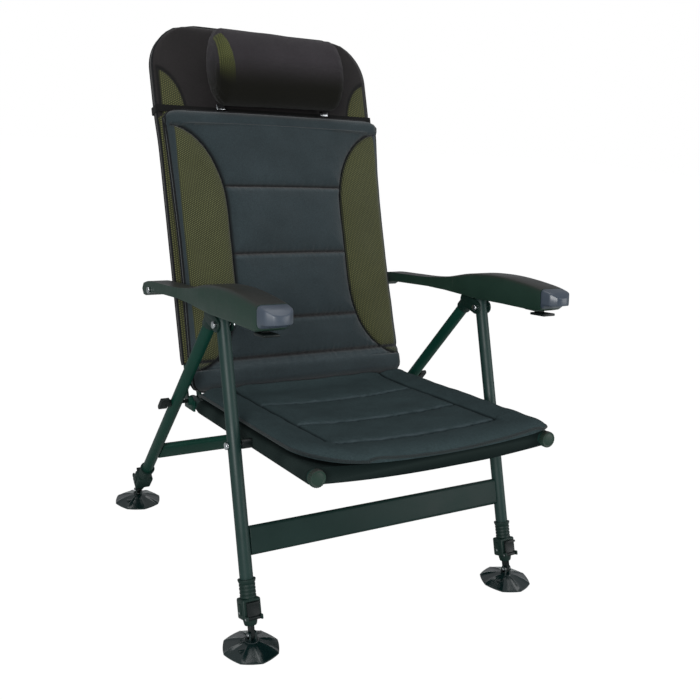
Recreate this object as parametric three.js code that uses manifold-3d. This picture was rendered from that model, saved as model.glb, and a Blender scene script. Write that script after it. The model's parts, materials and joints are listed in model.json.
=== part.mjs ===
// Folding carp fishing chair on two crossed pairs of steel tube legs.
// Millimetres, +Z up, +X to the viewer's right, the sitter faces -Y.
// Places in the side view are first set from the front feet's pivot line,
// and the finished chair is then moved so that the origin is under its middle.

import * as THREE from 'three';
import { mergeVertices } from 'three/addons/utils/BufferGeometryUtils.js';
import Module from 'manifold-3d';

const wasm = await Module();
wasm.setup();

// Stance and main places
const frameSpacing = 504;
const legSpacing = frameSpacing + 96;
const footSpread = 697;
const frontLegLean = THREE.MathUtils.degToRad(18.7);
const seatPivotAlong = 375.7;
const topPivotAlong = 597;
const rackPinAlong = 622;
const frontLegTopAlong = 635;
const rearLegOffset = 38;
const rearLegPastPivot = -4.5;

// Tubes, bolts and running gaps
const tubeDiameter = 25;
const tubeWall = 1.5;
const innerTubeDiameter = 21;
const innerTubeWall = 1.5;
const boltDiameter = 8;
const boltHeadDiameter = 14;
const boltHeadHeight = 5;
const seatGap = 0.3;
const boltGap = 0.3;
const cutOverrun = 20;
const weldDistance = 1e-4;
const tubeSides = 16;
const boltSides = 12;
const nutSides = 6;
const pinSides = 8;
const roundSides = 20;
const miterFloor = 0.5;

// Flat cross plates between the legs of a pair
const plateHeight = 54;
const plateThickness = 14;
const frontPlateAlong = 199;
const rearPlateAlong = 224;

// Leg clamps: a collar on the outer tube above a box with the lever
const collarDiameter = 32;
const collarBottomAlong = 98;
const collarTopAlong = 132;
const clampBoxWidth = 36;
const clampBoxDepth = 30;
const clampBoxHeight = 38;
const clampBoxCorner = 4;
const outerTubeEndAlong = 78;
const rearClampLift = 14;
const leverWidth = 24;
const leverHeight = 29;
const leverThickness = 4;
const leverTabDepth = 9;
const leverTabHeight = 4;
const leverPinDiameter = 4;
const leverPinStand = 4;
const leverEarWidth = 4;

// Inner leg tubes
const innerTubeReach = 250;
const tongueWidth = 7;
const tongueRadius = 8;
const shoulderAlong = 19;

// Mud feet
const footDiameter = 108;
const footRim = 4;
const footHubDiameter = 34;
const footHubHeight = 18;
const footPinHeight = 28;
const footPinDiameter = 6;
const footEarThickness = 4;
const footEarRadius = 7;
const footSides = 24;
const footMidShare = 0.62;
const footMidHeightShare = 0.42;

// Seat frame, measured along the rails from the seat pivot
const railSpacing = frameSpacing;
const railSlope = THREE.MathUtils.degToRad(5.23);
const railFront = -220;
const railRear = 338;
const endCapDiameter = 31.5;
const endCapLength = 12;
const endCapPlugLength = 20;
const rearBarDiameter = 20;
const rearBarFromRailEnd = 18;
const hingePlateThickness = 3;
const hingePlateReach = 53;
const hingePlateEye = 12;
const backPivotFromRailEnd = 8.6;
const backPivotAboveRail = 48;
const knobBossAlong = 304.9;
const knobBossAbove = 9;
const knobBossDiameter = 20;

// Seat sling and pad
const sleeveDiameter = 31;
const slingFront = -214;
const slingRear = 272;
const slingBelly = 26;
const slingDip = 14;
const pivotWindow = 11;
const padWidth = frameSpacing + 10;
const padFront = -226;
const padRear = 262;
const padEdgeThickness = 13;
const padCrown = 9;
const padSeamDepth = 7;
const padSeamWidth = 16;
const padBorder = 72;
const padSeamShares = [0.31, 0.69];
const padDrawShare = 0.012;
const padLift = 0.8;

// Backrest, measured up the back tubes from the back pivot
const backTilt = THREE.MathUtils.degToRad(20.4);
const backFrameTop = 766;
const backFrameCorner = 78;
const backFrameBendSteps = 6;
const backBarDiameter = 16;
const backBarUp = 22;
const panelBottom = 31;
const panelTop = 774;
const panelWidth = frameSpacing + 38;
const panelThickness = 32;
const panelCorner = 96;
const panelEdgeRound = 5;
const armPivotUp = 195;
const armPivotWindow = 9;
const backPadWidth = frameSpacing + 22;
const backPadBottom = -29;
const backPadTop = 576;
const backPadStandoff = 17;
const backPadEdge = 22;
const backPadCrown = 20;
const backPadBorder = 105;
const backPadSeams = [412, 261, 115, 30];
const backPadSeamDepth = 11;
const backPadSeamWidth = 22;
const lumbarRoll = 22;

// Head pillow and its band
const pillowWidth = 310;
const pillowBottom = 586;
const pillowTop = 756;
const pillowStandoff = 16.3;
const pillowDepth = 104;
const pillowEndRound = 34;
const pillowSides = 14;
const pillowEndShares = [[0, 0], [0.35, 0.62], [0.7, 0.86], [1, 1]];
const bandBottom = 581;
const bandHeight = 15;
const bandThickness = 1.8;
const bandGap = 0.4;

// Armrests, measured from the front tip
const armSpacing = frameSpacing + 100;
const armPastPivot = 50.3;
const armHeight = 56;
const armWidth = 60;
const armRearWidth = 42;
const armWall = 3;
const armTipHeight = 630;
const armTipForward = 52;
const armDrop = THREE.MathUtils.degToRad(7);
const armCapLength = 36;
const armCavityFront = 84;
const armCavityRear = 330;
const armRackOffset = 18.6;
const armRackThickness = 3;
const armRackFront = 150;
const armRackRear = 285;
const armRackClearance = 6;
const armNeckShares = [0.45, 0.66];
const armEdgeRound = 7;
const cavityRearShare = 0.3;
const rackToothPitch = 17;
const rackToothDepth = 5;
const triggerWidth = 30;
const triggerLength = 40;
const triggerThickness = 5;
const triggerFront = 40;
const triggerDrop = 2.5;
const triggerStemWidth = 14;
const triggerStemHeight = 12;
const triggerStemSetBack = 22;
const triggerTravelRoom = 6;
const armTopShares = [
  [0.002, 0.18], [0.03, 0.37], [0.09, 0.53], [0.21, 0.7], [0.31, 0.74], [0.41, 0.68],
  [0.53, 0.46], [0.66, 0.32], [0.8, 0.3], [0.93, 0.29], [0.985, 0.17],
];
const armUndersideShares = [
  [1, -0.06], [0.987, -0.27], [0.962, -0.29], [0.94, -0.17], [0.87, -0.07], [0.78, -0.06],
  [0.65, -0.06], [0.55, -0.1], [0.37, -0.27], [0.24, -0.3], [0.14, -0.34], [0.085, -0.37],
  [0.062, -0.31], [0.04, -0.14], [0.002, -0.1],
];

// Bolts, brackets and knobs
const bracketCheek = 3;
const bracketEye = 14;
const bracketSocketLength = 44;
const bracketCap = 3;
const legBushDiameter = 18;
const knobAlong = 433.2;
const knobHubDiameter = 16;
const knobHubLength = 11;
const knobWingSpan = 34;
const knobWingThickness = 5;
const knobWingWidth = 12;

// Colours and finishes
const finishes = {
  frontTube: { color: 0x2d403d, roughness: 0.38, metalness: 0.3 },
  rearTube: { color: 0x144632, roughness: 0.35, metalness: 0.3 },
  steel: { color: 0xb9bdbf, roughness: 0.3, metalness: 1 },
  bracket: { color: 0x17392c, roughness: 0.5, metalness: 0.1 },
  blackPlastic: { color: 0x17191a, roughness: 0.42, metalness: 0 },
  footPlastic: { color: 0x0d1112, roughness: 0.2, metalness: 0 },
  armPlastic: { color: 0x1e2320, roughness: 0.45, metalness: 0 },
  capPlastic: { color: 0x3b3d48, roughness: 0.25, metalness: 0 },
  sleeveFabric: { color: 0x1f2826, roughness: 0.95, metalness: 0 },
  padFabric: { color: 0x262f34, roughness: 0.9, metalness: 0 },
  panelFabric: { color: 0x2b282a, roughness: 0.95, metalness: 0 },
  pillowFabric: { color: 0x211e1b, roughness: 0.95, metalness: 0 },
};

// Derived sizes
const tubeRadius = tubeDiameter / 2;
const legX = legSpacing / 2;
const railX = railSpacing / 2;
const boltRadius = boltDiameter / 2;
const boltHole = boltRadius + boltGap;
const tubeHole = tubeRadius + seatGap;
const plateSpan = legX - tubeRadius - seatGap;
const sides = { left: -1, right: 1 };

// Side-view places of the pivots, from the front feet's pivot line
const topPivot = pointAlongFrontLeg(topPivotAlong);
const seatPivot = pointAlongFrontLeg(seatPivotAlong);
const pivotToRearFoot = Math.hypot(footSpread - topPivot.y, topPivot.z);
const rearLegLean = Math.atan2(footSpread - topPivot.y, topPivot.z)
  - Math.asin(rearLegOffset / pivotToRearFoot);
const rearPivotAlong = Math.sqrt(pivotToRearFoot ** 2 - rearLegOffset ** 2);
const rearLegTopAlong = rearPivotAlong + rearLegPastPivot;

function pointAlongFrontLeg(along) {
  return { y: along * Math.sin(frontLegLean), z: along * Math.cos(frontLegLean) };
}

// Turn any closed geometry so that its faces point outwards
function facingOut(geometry) {
  const shape = geometry.index ? geometry.toNonIndexed() : geometry.clone();
  const corners = shape.attributes.position;
  const [a, b, c] = [new THREE.Vector3(), new THREE.Vector3(), new THREE.Vector3()];
  let volume = 0;
  for (let i = 0; i < corners.count; i += 3) {
    a.fromBufferAttribute(corners, i);
    b.fromBufferAttribute(corners, i + 1);
    c.fromBufferAttribute(corners, i + 2);
    volume += a.dot(b.cross(c));
  }
  if (volume < 0) {
    for (let i = 0; i < corners.count; i += 3) {
      b.fromBufferAttribute(corners, i + 1);
      c.fromBufferAttribute(corners, i + 2);
      corners.setXYZ(i + 1, c.x, c.y, c.z);
      corners.setXYZ(i + 2, b.x, b.y, b.z);
    }
  }
  return shape;
}

// A closed solid from a geometry, and a geometry from a solid
function solidOf(geometry) {
  const bare = facingOut(geometry);
  bare.deleteAttribute('normal');
  bare.deleteAttribute('uv');
  const merged = mergeVertices(bare, weldDistance);
  const corners = Float32Array.from(merged.attributes.position.array);
  const faces = Uint32Array.from(merged.index.array);
  const mesh = new wasm.Mesh({ numProp: 3, vertProperties: corners, triVerts: faces });
  return new wasm.Manifold(mesh);
}

function geometryOf(solid) {
  const mesh = solid.getMesh();
  const geometry = new THREE.BufferGeometry();
  geometry.setAttribute('position', new THREE.BufferAttribute(mesh.vertProperties, 3));
  geometry.setIndex(new THREE.BufferAttribute(mesh.triVerts, 1));
  return geometry;
}

function joined(...geometries) {
  const [first, ...rest] = geometries.map(solidOf);
  return geometryOf(rest.reduce((sum, next) => sum.add(next), first));
}

function cut(body, ...tools) {
  const start = solidOf(body);
  return geometryOf(tools.reduce((left, tool) => left.subtract(solidOf(tool)), start));
}

// Round bars and pipes between two points
function stand(geometry, from, to) {
  const way = to.clone().sub(from).normalize();
  const turn = new THREE.Quaternion().setFromUnitVectors(new THREE.Vector3(0, 1, 0), way);
  return geometry.clone().applyQuaternion(turn).translate(from.x, from.y, from.z);
}

function rod(radius, from, to, count = tubeSides) {
  const length = from.distanceTo(to);
  const bar = new THREE.CylinderGeometry(radius, radius, length, count);
  bar.translate(0, length / 2, 0);
  return stand(bar, from, to);
}

function pipe(outer, inner, from, to, count = tubeSides) {
  const length = from.distanceTo(to);
  const ring = [[inner, 0], [outer, 0], [outer, length], [inner, length], [inner, 0]];
  return stand(lathe(ring, count), from, to);
}

function lathe(profile, count) {
  return new THREE.LatheGeometry(profile.map(([r, y]) => new THREE.Vector2(r, y)), count);
}

function at(x, y, z) {
  return new THREE.Vector3(x, y, z);
}

// A bar along X through a place in the side view
function crossRod(radius, xFrom, xTo, y, z, count = tubeSides) {
  return rod(radius, at(xFrom, y, z), at(xTo, y, z), count);
}

// An outline in the side view, (y, z), given thickness along X
function sidePlate(outline, xFrom, xTo, bevel = 0) {
  const [low, high] = [Math.min(xFrom, xTo), Math.max(xFrom, xTo)];
  const options = {
    depth: high - low - bevel * 2,
    bevelEnabled: bevel > 0,
    bevelThickness: bevel,
    bevelSize: bevel,
    bevelOffset: -bevel,
    bevelSegments: 2,
    curveSegments: 4,
  };
  const plate = new THREE.ExtrudeGeometry(outline, options);
  plate.translate(0, 0, low + bevel);
  const axes = new THREE.Matrix4().makeBasis(at(0, 1, 0), at(0, 0, 1), at(1, 0, 0));
  return plate.applyMatrix4(axes);
}

// An outline seen from the front, (x, z), given thickness along Y
function frontPlate(outline, yFrom, yTo, bevel = 0) {
  const options = {
    depth: yTo - yFrom - bevel * 2,
    bevelEnabled: bevel > 0,
    bevelThickness: bevel,
    bevelSize: bevel,
    bevelOffset: -bevel,
    bevelSegments: 2,
    curveSegments: 5,
  };
  const plate = new THREE.ExtrudeGeometry(outline, options);
  plate.translate(0, 0, bevel);
  const axes = new THREE.Matrix4().makeBasis(at(1, 0, 0), at(0, 0, 1), at(0, -1, 0));
  plate.applyMatrix4(axes);
  return plate.translate(0, yTo, 0);
}

// An outline seen from above, (x, y), given height along Z
function levelPlate(outline, zFrom, zTo) {
  const depth = zTo - zFrom;
  const plate = new THREE.ExtrudeGeometry(outline, { depth, bevelEnabled: false, curveSegments: 3 });
  return plate.translate(0, 0, zFrom);
}

function box(xFrom, xTo, yFrom, yTo, zFrom, zTo) {
  const block = new THREE.BoxGeometry(xTo - xFrom, yTo - yFrom, zTo - zFrom);
  return block.translate((xFrom + xTo) / 2, (yFrom + yTo) / 2, (zFrom + zTo) / 2);
}

function roundedOutline(xFrom, xTo, yFrom, yTo, radius) {
  const outline = new THREE.Shape();
  const quarter = Math.PI / 2;
  outline.absarc(xTo - radius, yFrom + radius, radius, -quarter, 0);
  outline.absarc(xTo - radius, yTo - radius, radius, 0, quarter);
  outline.absarc(xFrom + radius, yTo - radius, radius, quarter, Math.PI);
  outline.absarc(xFrom + radius, yFrom + radius, radius, Math.PI, quarter * 3);
  outline.closePath();
  return outline;
}

// The outline round two circles, as of a lug with two eyes
function lugOutline(a, radiusA, b, radiusB) {
  const way = Math.atan2(b[1] - a[1], b[0] - a[0]);
  const distance = Math.hypot(b[0] - a[0], b[1] - a[1]);
  const spread = Math.acos((radiusA - radiusB) / distance);
  const outline = new THREE.Shape();
  outline.absarc(b[0], b[1], radiusB, way - spread, way + spread);
  outline.absarc(a[0], a[1], radiusA, way + spread, way - spread + Math.PI * 2);
  outline.closePath();
  return outline;
}

// Naming, finish and place of one piece
function piece(name, geometry, finish) {
  const shape = geometry.index ? geometry.clone() : mergeVertices(bareCopy(geometry), weldDistance);
  shape.computeVertexNormals();
  const mesh = new THREE.Mesh(shape, new THREE.MeshStandardMaterial(finishes[finish]));
  mesh.name = name;
  return mesh;
}

function bareCopy(geometry) {
  const bare = geometry.clone();
  bare.deleteAttribute('normal');
  bare.deleteAttribute('uv');
  return bare;
}

function bothSides(make) {
  return Object.entries(sides).flatMap(([side, sign]) => make(side, sign));
}

// A bolt along X with a head outside and a nut inside, mirrored by sign
function crossBolt(sign, xInner, xOuter, y, z) {
  const shank = crossRod(boltRadius, sign * xInner, sign * xOuter, y, z, boltSides);
  const radius = boltHeadDiameter / 2;
  const head = crossRod(radius, sign * xOuter, sign * (xOuter + boltHeadHeight), y, z, boltSides);
  const nut = crossRod(radius, sign * (xInner - boltHeadHeight), sign * xInner, y, z, nutSides);
  return joined(shank, head, nut);
}

// Legs: tubes, cross plate, clamps, inner tubes, levers
function legTube(sign, from, to, holes) {
  const x = sign * legX;
  const tube = pipe(tubeRadius, tubeRadius - tubeWall, at(x, 0, from), at(x, 0, to));
  if (holes.length === 0) return facingOut(tube);
  const drills = holes.map(([along, radius]) => (
    crossRod(radius, x - cutOverrun, x + cutOverrun, 0, along)));
  return cut(tube, ...drills);
}

function crossPlate(along) {
  const round = plateThickness / 2 - weldDistance;
  const outline = roundedOutline(-plateThickness / 2, plateThickness / 2,
    along - plateHeight / 2, along + plateHeight / 2, round);
  return sidePlate(outline, -plateSpan, plateSpan);
}

function clampBody(sign, lift, leverSide) {
  const x = sign * legX;
  const boxBottom = collarBottomAlong - clampBoxHeight + lift;
  const boxTop = collarBottomAlong + lift;
  const outline = roundedOutline(x - clampBoxWidth / 2, x + clampBoxWidth / 2,
    -clampBoxDepth / 2, clampBoxDepth / 2, clampBoxCorner);
  const block = levelPlate(outline, boxBottom, boxTop);
  const collar = rod(collarDiameter / 2, at(x, 0, boxTop - clampBoxCorner), at(x, 0, collarTopAlong + lift));
  const pinY = leverSide * (clampBoxDepth / 2 + leverPinStand);
  const pinZ = boxBottom + leverPinStand;
  const earOuter = leverWidth / 2 + seatGap + leverEarWidth;
  const earOutline = lugOutline([leverSide * (clampBoxDepth / 2 - leverPinStand), pinZ + leverPinStand],
    leverPinStand, [pinY, pinZ], leverPinStand);
  const earLeft = sidePlate(earOutline, x - earOuter, x - earOuter + leverEarWidth);
  const earRight = sidePlate(earOutline, x + earOuter - leverEarWidth, x + earOuter);
  const hingePin = crossRod(leverPinDiameter / 2, x - earOuter, x + earOuter, pinY, pinZ, pinSides);
  const socketBottom = outerTubeEndAlong - seatGap + lift;
  const socketTop = collarTopAlong + lift + cutOverrun;
  const wide = rod(tubeHole, at(x, 0, socketBottom), at(x, 0, socketTop));
  const narrow = rod(innerTubeDiameter / 2 + seatGap, at(x, 0, boxBottom - cutOverrun), at(x, 0, boxTop));
  return cut(joined(block, collar, earLeft, earRight, hingePin), wide, narrow);
}

function clampLever(sign, lift, leverSide) {
  const x = sign * legX;
  const pinY = leverSide * (clampBoxDepth / 2 + leverPinStand);
  const pinZ = collarBottomAlong - clampBoxHeight + lift + leverPinStand;
  const eyeRadius = leverPinStand - seatGap;
  const near = clampBoxDepth / 2 + seatGap * 2;
  const handle = box(x - leverWidth / 2, x + leverWidth / 2,
    Math.min(leverSide * near, leverSide * (near + leverThickness)),
    Math.max(leverSide * near, leverSide * (near + leverThickness)), pinZ, pinZ + leverHeight);
  const tab = box(x - leverWidth / 2, x + leverWidth / 2,
    Math.min(leverSide * near, leverSide * (near + leverTabDepth)),
    Math.max(leverSide * near, leverSide * (near + leverTabDepth)),
    pinZ + leverHeight - leverTabHeight, pinZ + leverHeight);
  const eye = crossRod(eyeRadius, x - leverWidth / 2, x + leverWidth / 2, pinY, pinZ, 12);
  const hole = crossRod(leverPinDiameter / 2 + seatGap, x - cutOverrun, x + cutOverrun, pinY, pinZ, 12);
  return cut(joined(handle, tab, eye), hole);
}

// Inner tube: the foot's pin passes through the tongue at its lower end
function innerLeg(sign, lift, lean) {
  const x = sign * legX;
  const radius = innerTubeDiameter / 2;
  const bore = radius - innerTubeWall;
  const pinAlong = footPinHeight / Math.cos(lean);
  const shoulder = pinAlong + shoulderAlong;
  const top = shoulder + innerTubeReach + lift;
  const profile = [
    [0, shoulder], [radius, shoulder], [radius, top], [bore, top],
    [bore, shoulder + shoulderAlong], [0, shoulder + shoulderAlong],
  ];
  const tube = lathe(profile, tubeSides).rotateX(Math.PI / 2).translate(x, 0, 0);
  const neckTop = [0, shoulder + tongueRadius];
  const neck = lugOutline([0, pinAlong], tongueRadius, neckTop, tongueRadius);
  const tongue = sidePlate(neck, x - tongueWidth / 2, x + tongueWidth / 2);
  const pinHole = crossRod(footPinDiameter / 2 + boltGap, x - cutOverrun, x + cutOverrun, 0, pinAlong, 12);
  return cut(joined(tube, tongue), pinHole);
}

// A mud foot stands level on the ground under its leg
function mudFoot() {
  const rim = footDiameter / 2;
  const hub = footHubDiameter / 2;
  const middle = hub + (rim - hub) * footMidShare;
  const middleHeight = footRim + (footHubHeight - footRim) * footMidHeightShare;
  const profile = [
    [0, 0], [rim, 0], [rim, footRim], [middle, middleHeight],
    [hub, footHubHeight], [0, footHubHeight],
  ];
  const disc = lathe(profile, footSides).rotateX(Math.PI / 2);
  const earInner = tongueWidth / 2 + seatGap;
  const earOuter = earInner + footEarThickness;
  const ear = lugOutline([0, footRim + footEarRadius], footEarRadius, [0, footPinHeight], footEarRadius);
  const earLeft = sidePlate(ear, -earOuter, -earInner);
  const earRight = sidePlate(ear, earInner, earOuter);
  const pin = crossRod(footPinDiameter / 2, -earOuter, earOuter, 0, footPinHeight, 12);
  return joined(disc, earLeft, earRight, pin);
}

function frontLegPair() {
  const group = new THREE.Group();
  group.rotation.x = -frontLegLean;
  const holes = [[seatPivotAlong, boltHole], [topPivotAlong, boltHole], [rackPinAlong, boltHole]];
  group.add(piece('front_cross_plate', crossPlate(frontPlateAlong), 'frontTube'));
  group.add(...bothSides((side, sign) => [
    piece(`front_leg_${side}`, legTube(sign, outerTubeEndAlong, frontLegTopAlong, holes), 'frontTube'),
    piece(`front_clamp_${side}`, clampBody(sign, 0, -1), 'bracket'),
    piece(`front_clamp_lever_${side}`, clampLever(sign, 0, -1), 'blackPlastic'),
    piece(`front_inner_leg_${side}`, innerLeg(sign, 0, frontLegLean), 'blackPlastic'),
    piece(`leg_top_bolt_${side}`, legTopBolt(sign), 'steel'),
    piece(`rack_pin_${side}`, rackPin(sign), 'steel'),
    piece(`seat_bolt_${side}`, seatBolt(sign), 'steel'),
  ]));
  return group;
}

function rearLegPair() {
  const group = new THREE.Group();
  group.position.y = footSpread;
  group.rotation.x = rearLegLean;
  const outerEnd = outerTubeEndAlong + rearClampLift;
  const holes = [[knobAlong, boltHole]];
  group.add(piece('rear_cross_plate', crossPlate(rearPlateAlong), 'rearTube'));
  group.add(...bothSides((side, sign) => [
    piece(`rear_leg_${side}`, legTube(sign, outerEnd, rearLegTopAlong, holes), 'rearTube'),
    piece(`rear_clamp_${side}`, clampBody(sign, rearClampLift, 1), 'bracket'),
    piece(`rear_clamp_lever_${side}`, clampLever(sign, rearClampLift, 1), 'blackPlastic'),
    piece(`rear_inner_leg_${side}`, innerLeg(sign, rearClampLift, rearLegLean), 'blackPlastic'),
    piece(`leg_top_bracket_${side}`, legTopBracket(sign), 'bracket'),
    piece(`wing_knob_${side}`, wingKnob(sign), 'blackPlastic'),
  ]));
  return group;
}

function feet() {
  const group = new THREE.Group();
  for (const [end, y] of [['front', 0], ['rear', footSpread]]) {
    const pinSetBack = footPinHeight * Math.tan(end === 'front' ? frontLegLean : -rearLegLean);
    group.add(...bothSides((side, sign) => {
      const foot = piece(`${end}_foot_${side}`, mudFoot(), 'footPlastic');
      foot.position.set(sign * legX, y + pinSetBack, 0);
      return foot;
    }));
  }
  return group;
}

// Bolts of the front legs
function legTopBolt(sign) {
  const reach = tubeRadius + bracketCheek + seatGap * 2;
  return crossBolt(sign, legX - reach, legX + reach, 0, topPivotAlong);
}

function rackPin(sign) {
  const reach = armRackOffset + armRackThickness;
  return crossRod(boltRadius, sign * (legX - reach), sign * (legX + reach), 0, rackPinAlong);
}

function seatBolt(sign) {
  const inner = railX - tubeRadius - seatGap;
  const outer = legX + tubeRadius + seatGap;
  return crossBolt(sign, inner, outer, 0, seatPivotAlong);
}

// Two-cheek bracket on the rear leg's top, with the eye of the leg pivot
function legTopBracket(sign) {
  const x = sign * legX;
  const cheekInner = tubeRadius + seatGap;
  const cheekOuter = cheekInner + bracketCheek;
  const eye = [-rearLegOffset, rearPivotAlong];
  const root = [0, rearLegTopAlong - bracketEye];
  const outline = lugOutline(eye, bracketEye, root, bracketEye);
  const cheeks = [-1, 1].map((way) => sidePlate(outline, x + way * cheekInner, x + way * cheekOuter));
  const top = rearLegTopAlong + seatGap + bracketCap;
  const socket = rod(cheekOuter, at(x, 0, rearLegTopAlong - bracketSocketLength), at(x, 0, top));
  const bore = rod(tubeHole, at(x, 0, rearLegTopAlong - bracketSocketLength - cutOverrun),
    at(x, 0, rearLegTopAlong + seatGap));
  const hole = crossRod(boltHole, x - cutOverrun, x + cutOverrun, eye[0], eye[1]);
  return cut(joined(...cheeks, socket), bore, hole);
}

// Wing knob outside the rear leg; its stud reaches to the seat frame's boss
function wingKnob(sign) {
  const hubInner = legX + tubeRadius + seatGap;
  const hubOuter = hubInner + knobHubLength;
  const wingInner = hubOuter - knobWingWidth;
  const stud = crossRod(boltRadius, sign * (legX - tubeRadius - studReach()), sign * hubOuter, 0, knobAlong);
  const hub = crossRod(knobHubDiameter / 2, sign * hubInner, sign * hubOuter, 0, knobAlong);
  const half = knobWingSpan / 2;
  const wings = lugOutline([0, knobAlong - half + knobWingThickness], knobWingThickness,
    [0, knobAlong + half - knobWingThickness], knobWingThickness);
  const wing = sidePlate(wings, sign * (wingInner + knobWingWidth), sign * (hubOuter + knobWingWidth));
  const web = sidePlate(wings, sign * (hubOuter - knobWingThickness), sign * (hubOuter + knobWingWidth));
  return joined(stud, hub, wing, web);
}

// The stud ends just clear of the boss on the hinge plate
function studReach() {
  const plateOuter = railX + tubeRadius + seatGap + hingePlateThickness;
  return legX - tubeRadius - plateOuter - seatGap - knobBossLength();
}

function knobBossLength() {
  return (legX - tubeRadius - railX - tubeRadius - hingePlateThickness) / 3;
}

// Seat frame group: origin at the seat pivot, -Y forward along the rails
function seatFrame() {
  const group = new THREE.Group();
  group.position.set(0, seatPivot.y, seatPivot.z);
  group.rotation.x = -railSlope;
  group.add(piece('seat_rear_bar', seatRearBar(), 'rearTube'));
  group.add(piece('seat_sling', seatSling(), 'sleeveFabric'));
  group.add(piece('seat_pad', seatPad(), 'padFabric'));
  group.add(...bothSides((side, sign) => [
    piece(`seat_rail_${side}`, seatRail(sign), 'frontTube'),
    piece(`seat_end_cap_${side}`, seatEndCap(sign), 'blackPlastic'),
    piece(`back_hinge_plate_${side}`, hingePlate(sign), 'rearTube'),
    piece(`leg_bush_${side}`, legBush(sign), 'blackPlastic'),
  ]));
  return group;
}

function seatRail(sign) {
  const x = sign * railX;
  const tube = pipe(tubeRadius, tubeRadius - tubeWall, at(x, railFront, 0), at(x, railRear, 0));
  return cut(tube, crossRod(boltHole, x - cutOverrun, x + cutOverrun, 0, 0));
}

function seatEndCap(sign) {
  const x = sign * railX;
  const outside = at(x, railFront - endCapLength, 0);
  const face = rod(endCapDiameter / 2, outside, at(x, railFront - seatGap, 0), roundSides);
  const plug = rod(tubeRadius - tubeWall - seatGap, at(x, railFront - endCapLength / 2, 0),
    at(x, railFront + endCapPlugLength, 0));
  return joined(face, plug);
}

function legBush(sign) {
  const from = railX + tubeRadius + seatGap;
  const to = legX - tubeRadius - seatGap;
  const bush = pipe(legBushDiameter / 2, boltHole, at(sign * from, 0, 0), at(sign * to, 0, 0));
  return facingOut(bush);
}

function seatRearBar() {
  const reach = railX - tubeRadius - seatGap - hingePlateThickness - seatGap;
  const y = railRear - rearBarFromRailEnd;
  return pipe(rearBarDiameter / 2, rearBarDiameter / 2 - tubeWall, at(-reach, y, 0), at(reach, y, 0));
}

// Two plates round the rail's rear end, joined behind it
function hingePlate(sign) {
  const x = sign * railX;
  const inner = tubeRadius + seatGap;
  const outer = inner + hingePlateThickness;
  const y = railRear - hingePlateReach + hingePlateEye;
  const pivotY = railRear + backPivotFromRailEnd;
  const lower = roundedOutline(y - hingePlateEye, railRear + seatGap + hingePlateThickness,
    -hingePlateEye, hingePlateEye, hingePlateThickness);
  const upper = lugOutline([railRear - backPivotFromRailEnd, 0], hingePlateEye,
    [pivotY, backPivotAboveRail], hingePlateEye);
  const cheeks = [[x - outer, x - inner], [x + inner, x + outer]].flatMap(([from, to]) => (
    [sidePlate(lower, from, to), sidePlate(upper, from, to)]));
  const web = box(x - outer, x + outer, railRear + seatGap, railRear + seatGap + hingePlateThickness,
    -hingePlateEye + hingePlateThickness, hingePlateEye - hingePlateThickness);
  const bossFrom = x + sign * inner;
  const boss = crossRod(knobBossDiameter / 2, bossFrom, x + sign * (outer + knobBossLength()),
    knobBossAlong, knobBossAbove);
  const pivotHole = crossRod(boltHole, x - cutOverrun, x + cutOverrun, pivotY, backPivotAboveRail);
  return cut(joined(...cheeks, web, boss), pivotHole);
}

// Under-seat sling: fabric sleeves on the rails with a sagging belly
function slingSection() {
  const sleeve = sleeveDiameter / 2;
  const outline = new THREE.Shape();
  const half = railX;
  const sag = (x, depth) => depth * (1 - (x / half) ** 2);
  const steps = 12;
  outline.absarc(half, 0, sleeve, -Math.PI / 2, Math.PI / 2);
  for (let i = 1; i < steps; i += 1) {
    const x = half - (i / steps) * half * 2;
    outline.lineTo(x, sleeve - sag(x, slingDip));
  }
  outline.absarc(-half, 0, sleeve, Math.PI / 2, Math.PI * 1.5);
  for (let i = 1; i < steps; i += 1) {
    const x = -half + (i / steps) * half * 2;
    outline.lineTo(x, -sleeve - sag(x, slingBelly - sleeve));
  }
  outline.closePath();
  return outline;
}

function seatSling() {
  const body = frontPlate(slingSection(), slingFront, slingRear);
  const [from, to] = [slingFront - cutOverrun, slingRear + cutOverrun];
  const reach = tubeRadius + cutOverrun;
  const tunnels = Object.values(sides).map((sign) => (
    rod(tubeHole, at(sign * railX, from, 0), at(sign * railX, to, 0))));
  const windows = Object.values(sides).map((sign) => (
    crossRod(pivotWindow, sign * (railX - reach), sign * (railX + reach), 0, 0)));
  return cut(body, ...tunnels, ...windows);
}

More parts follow.
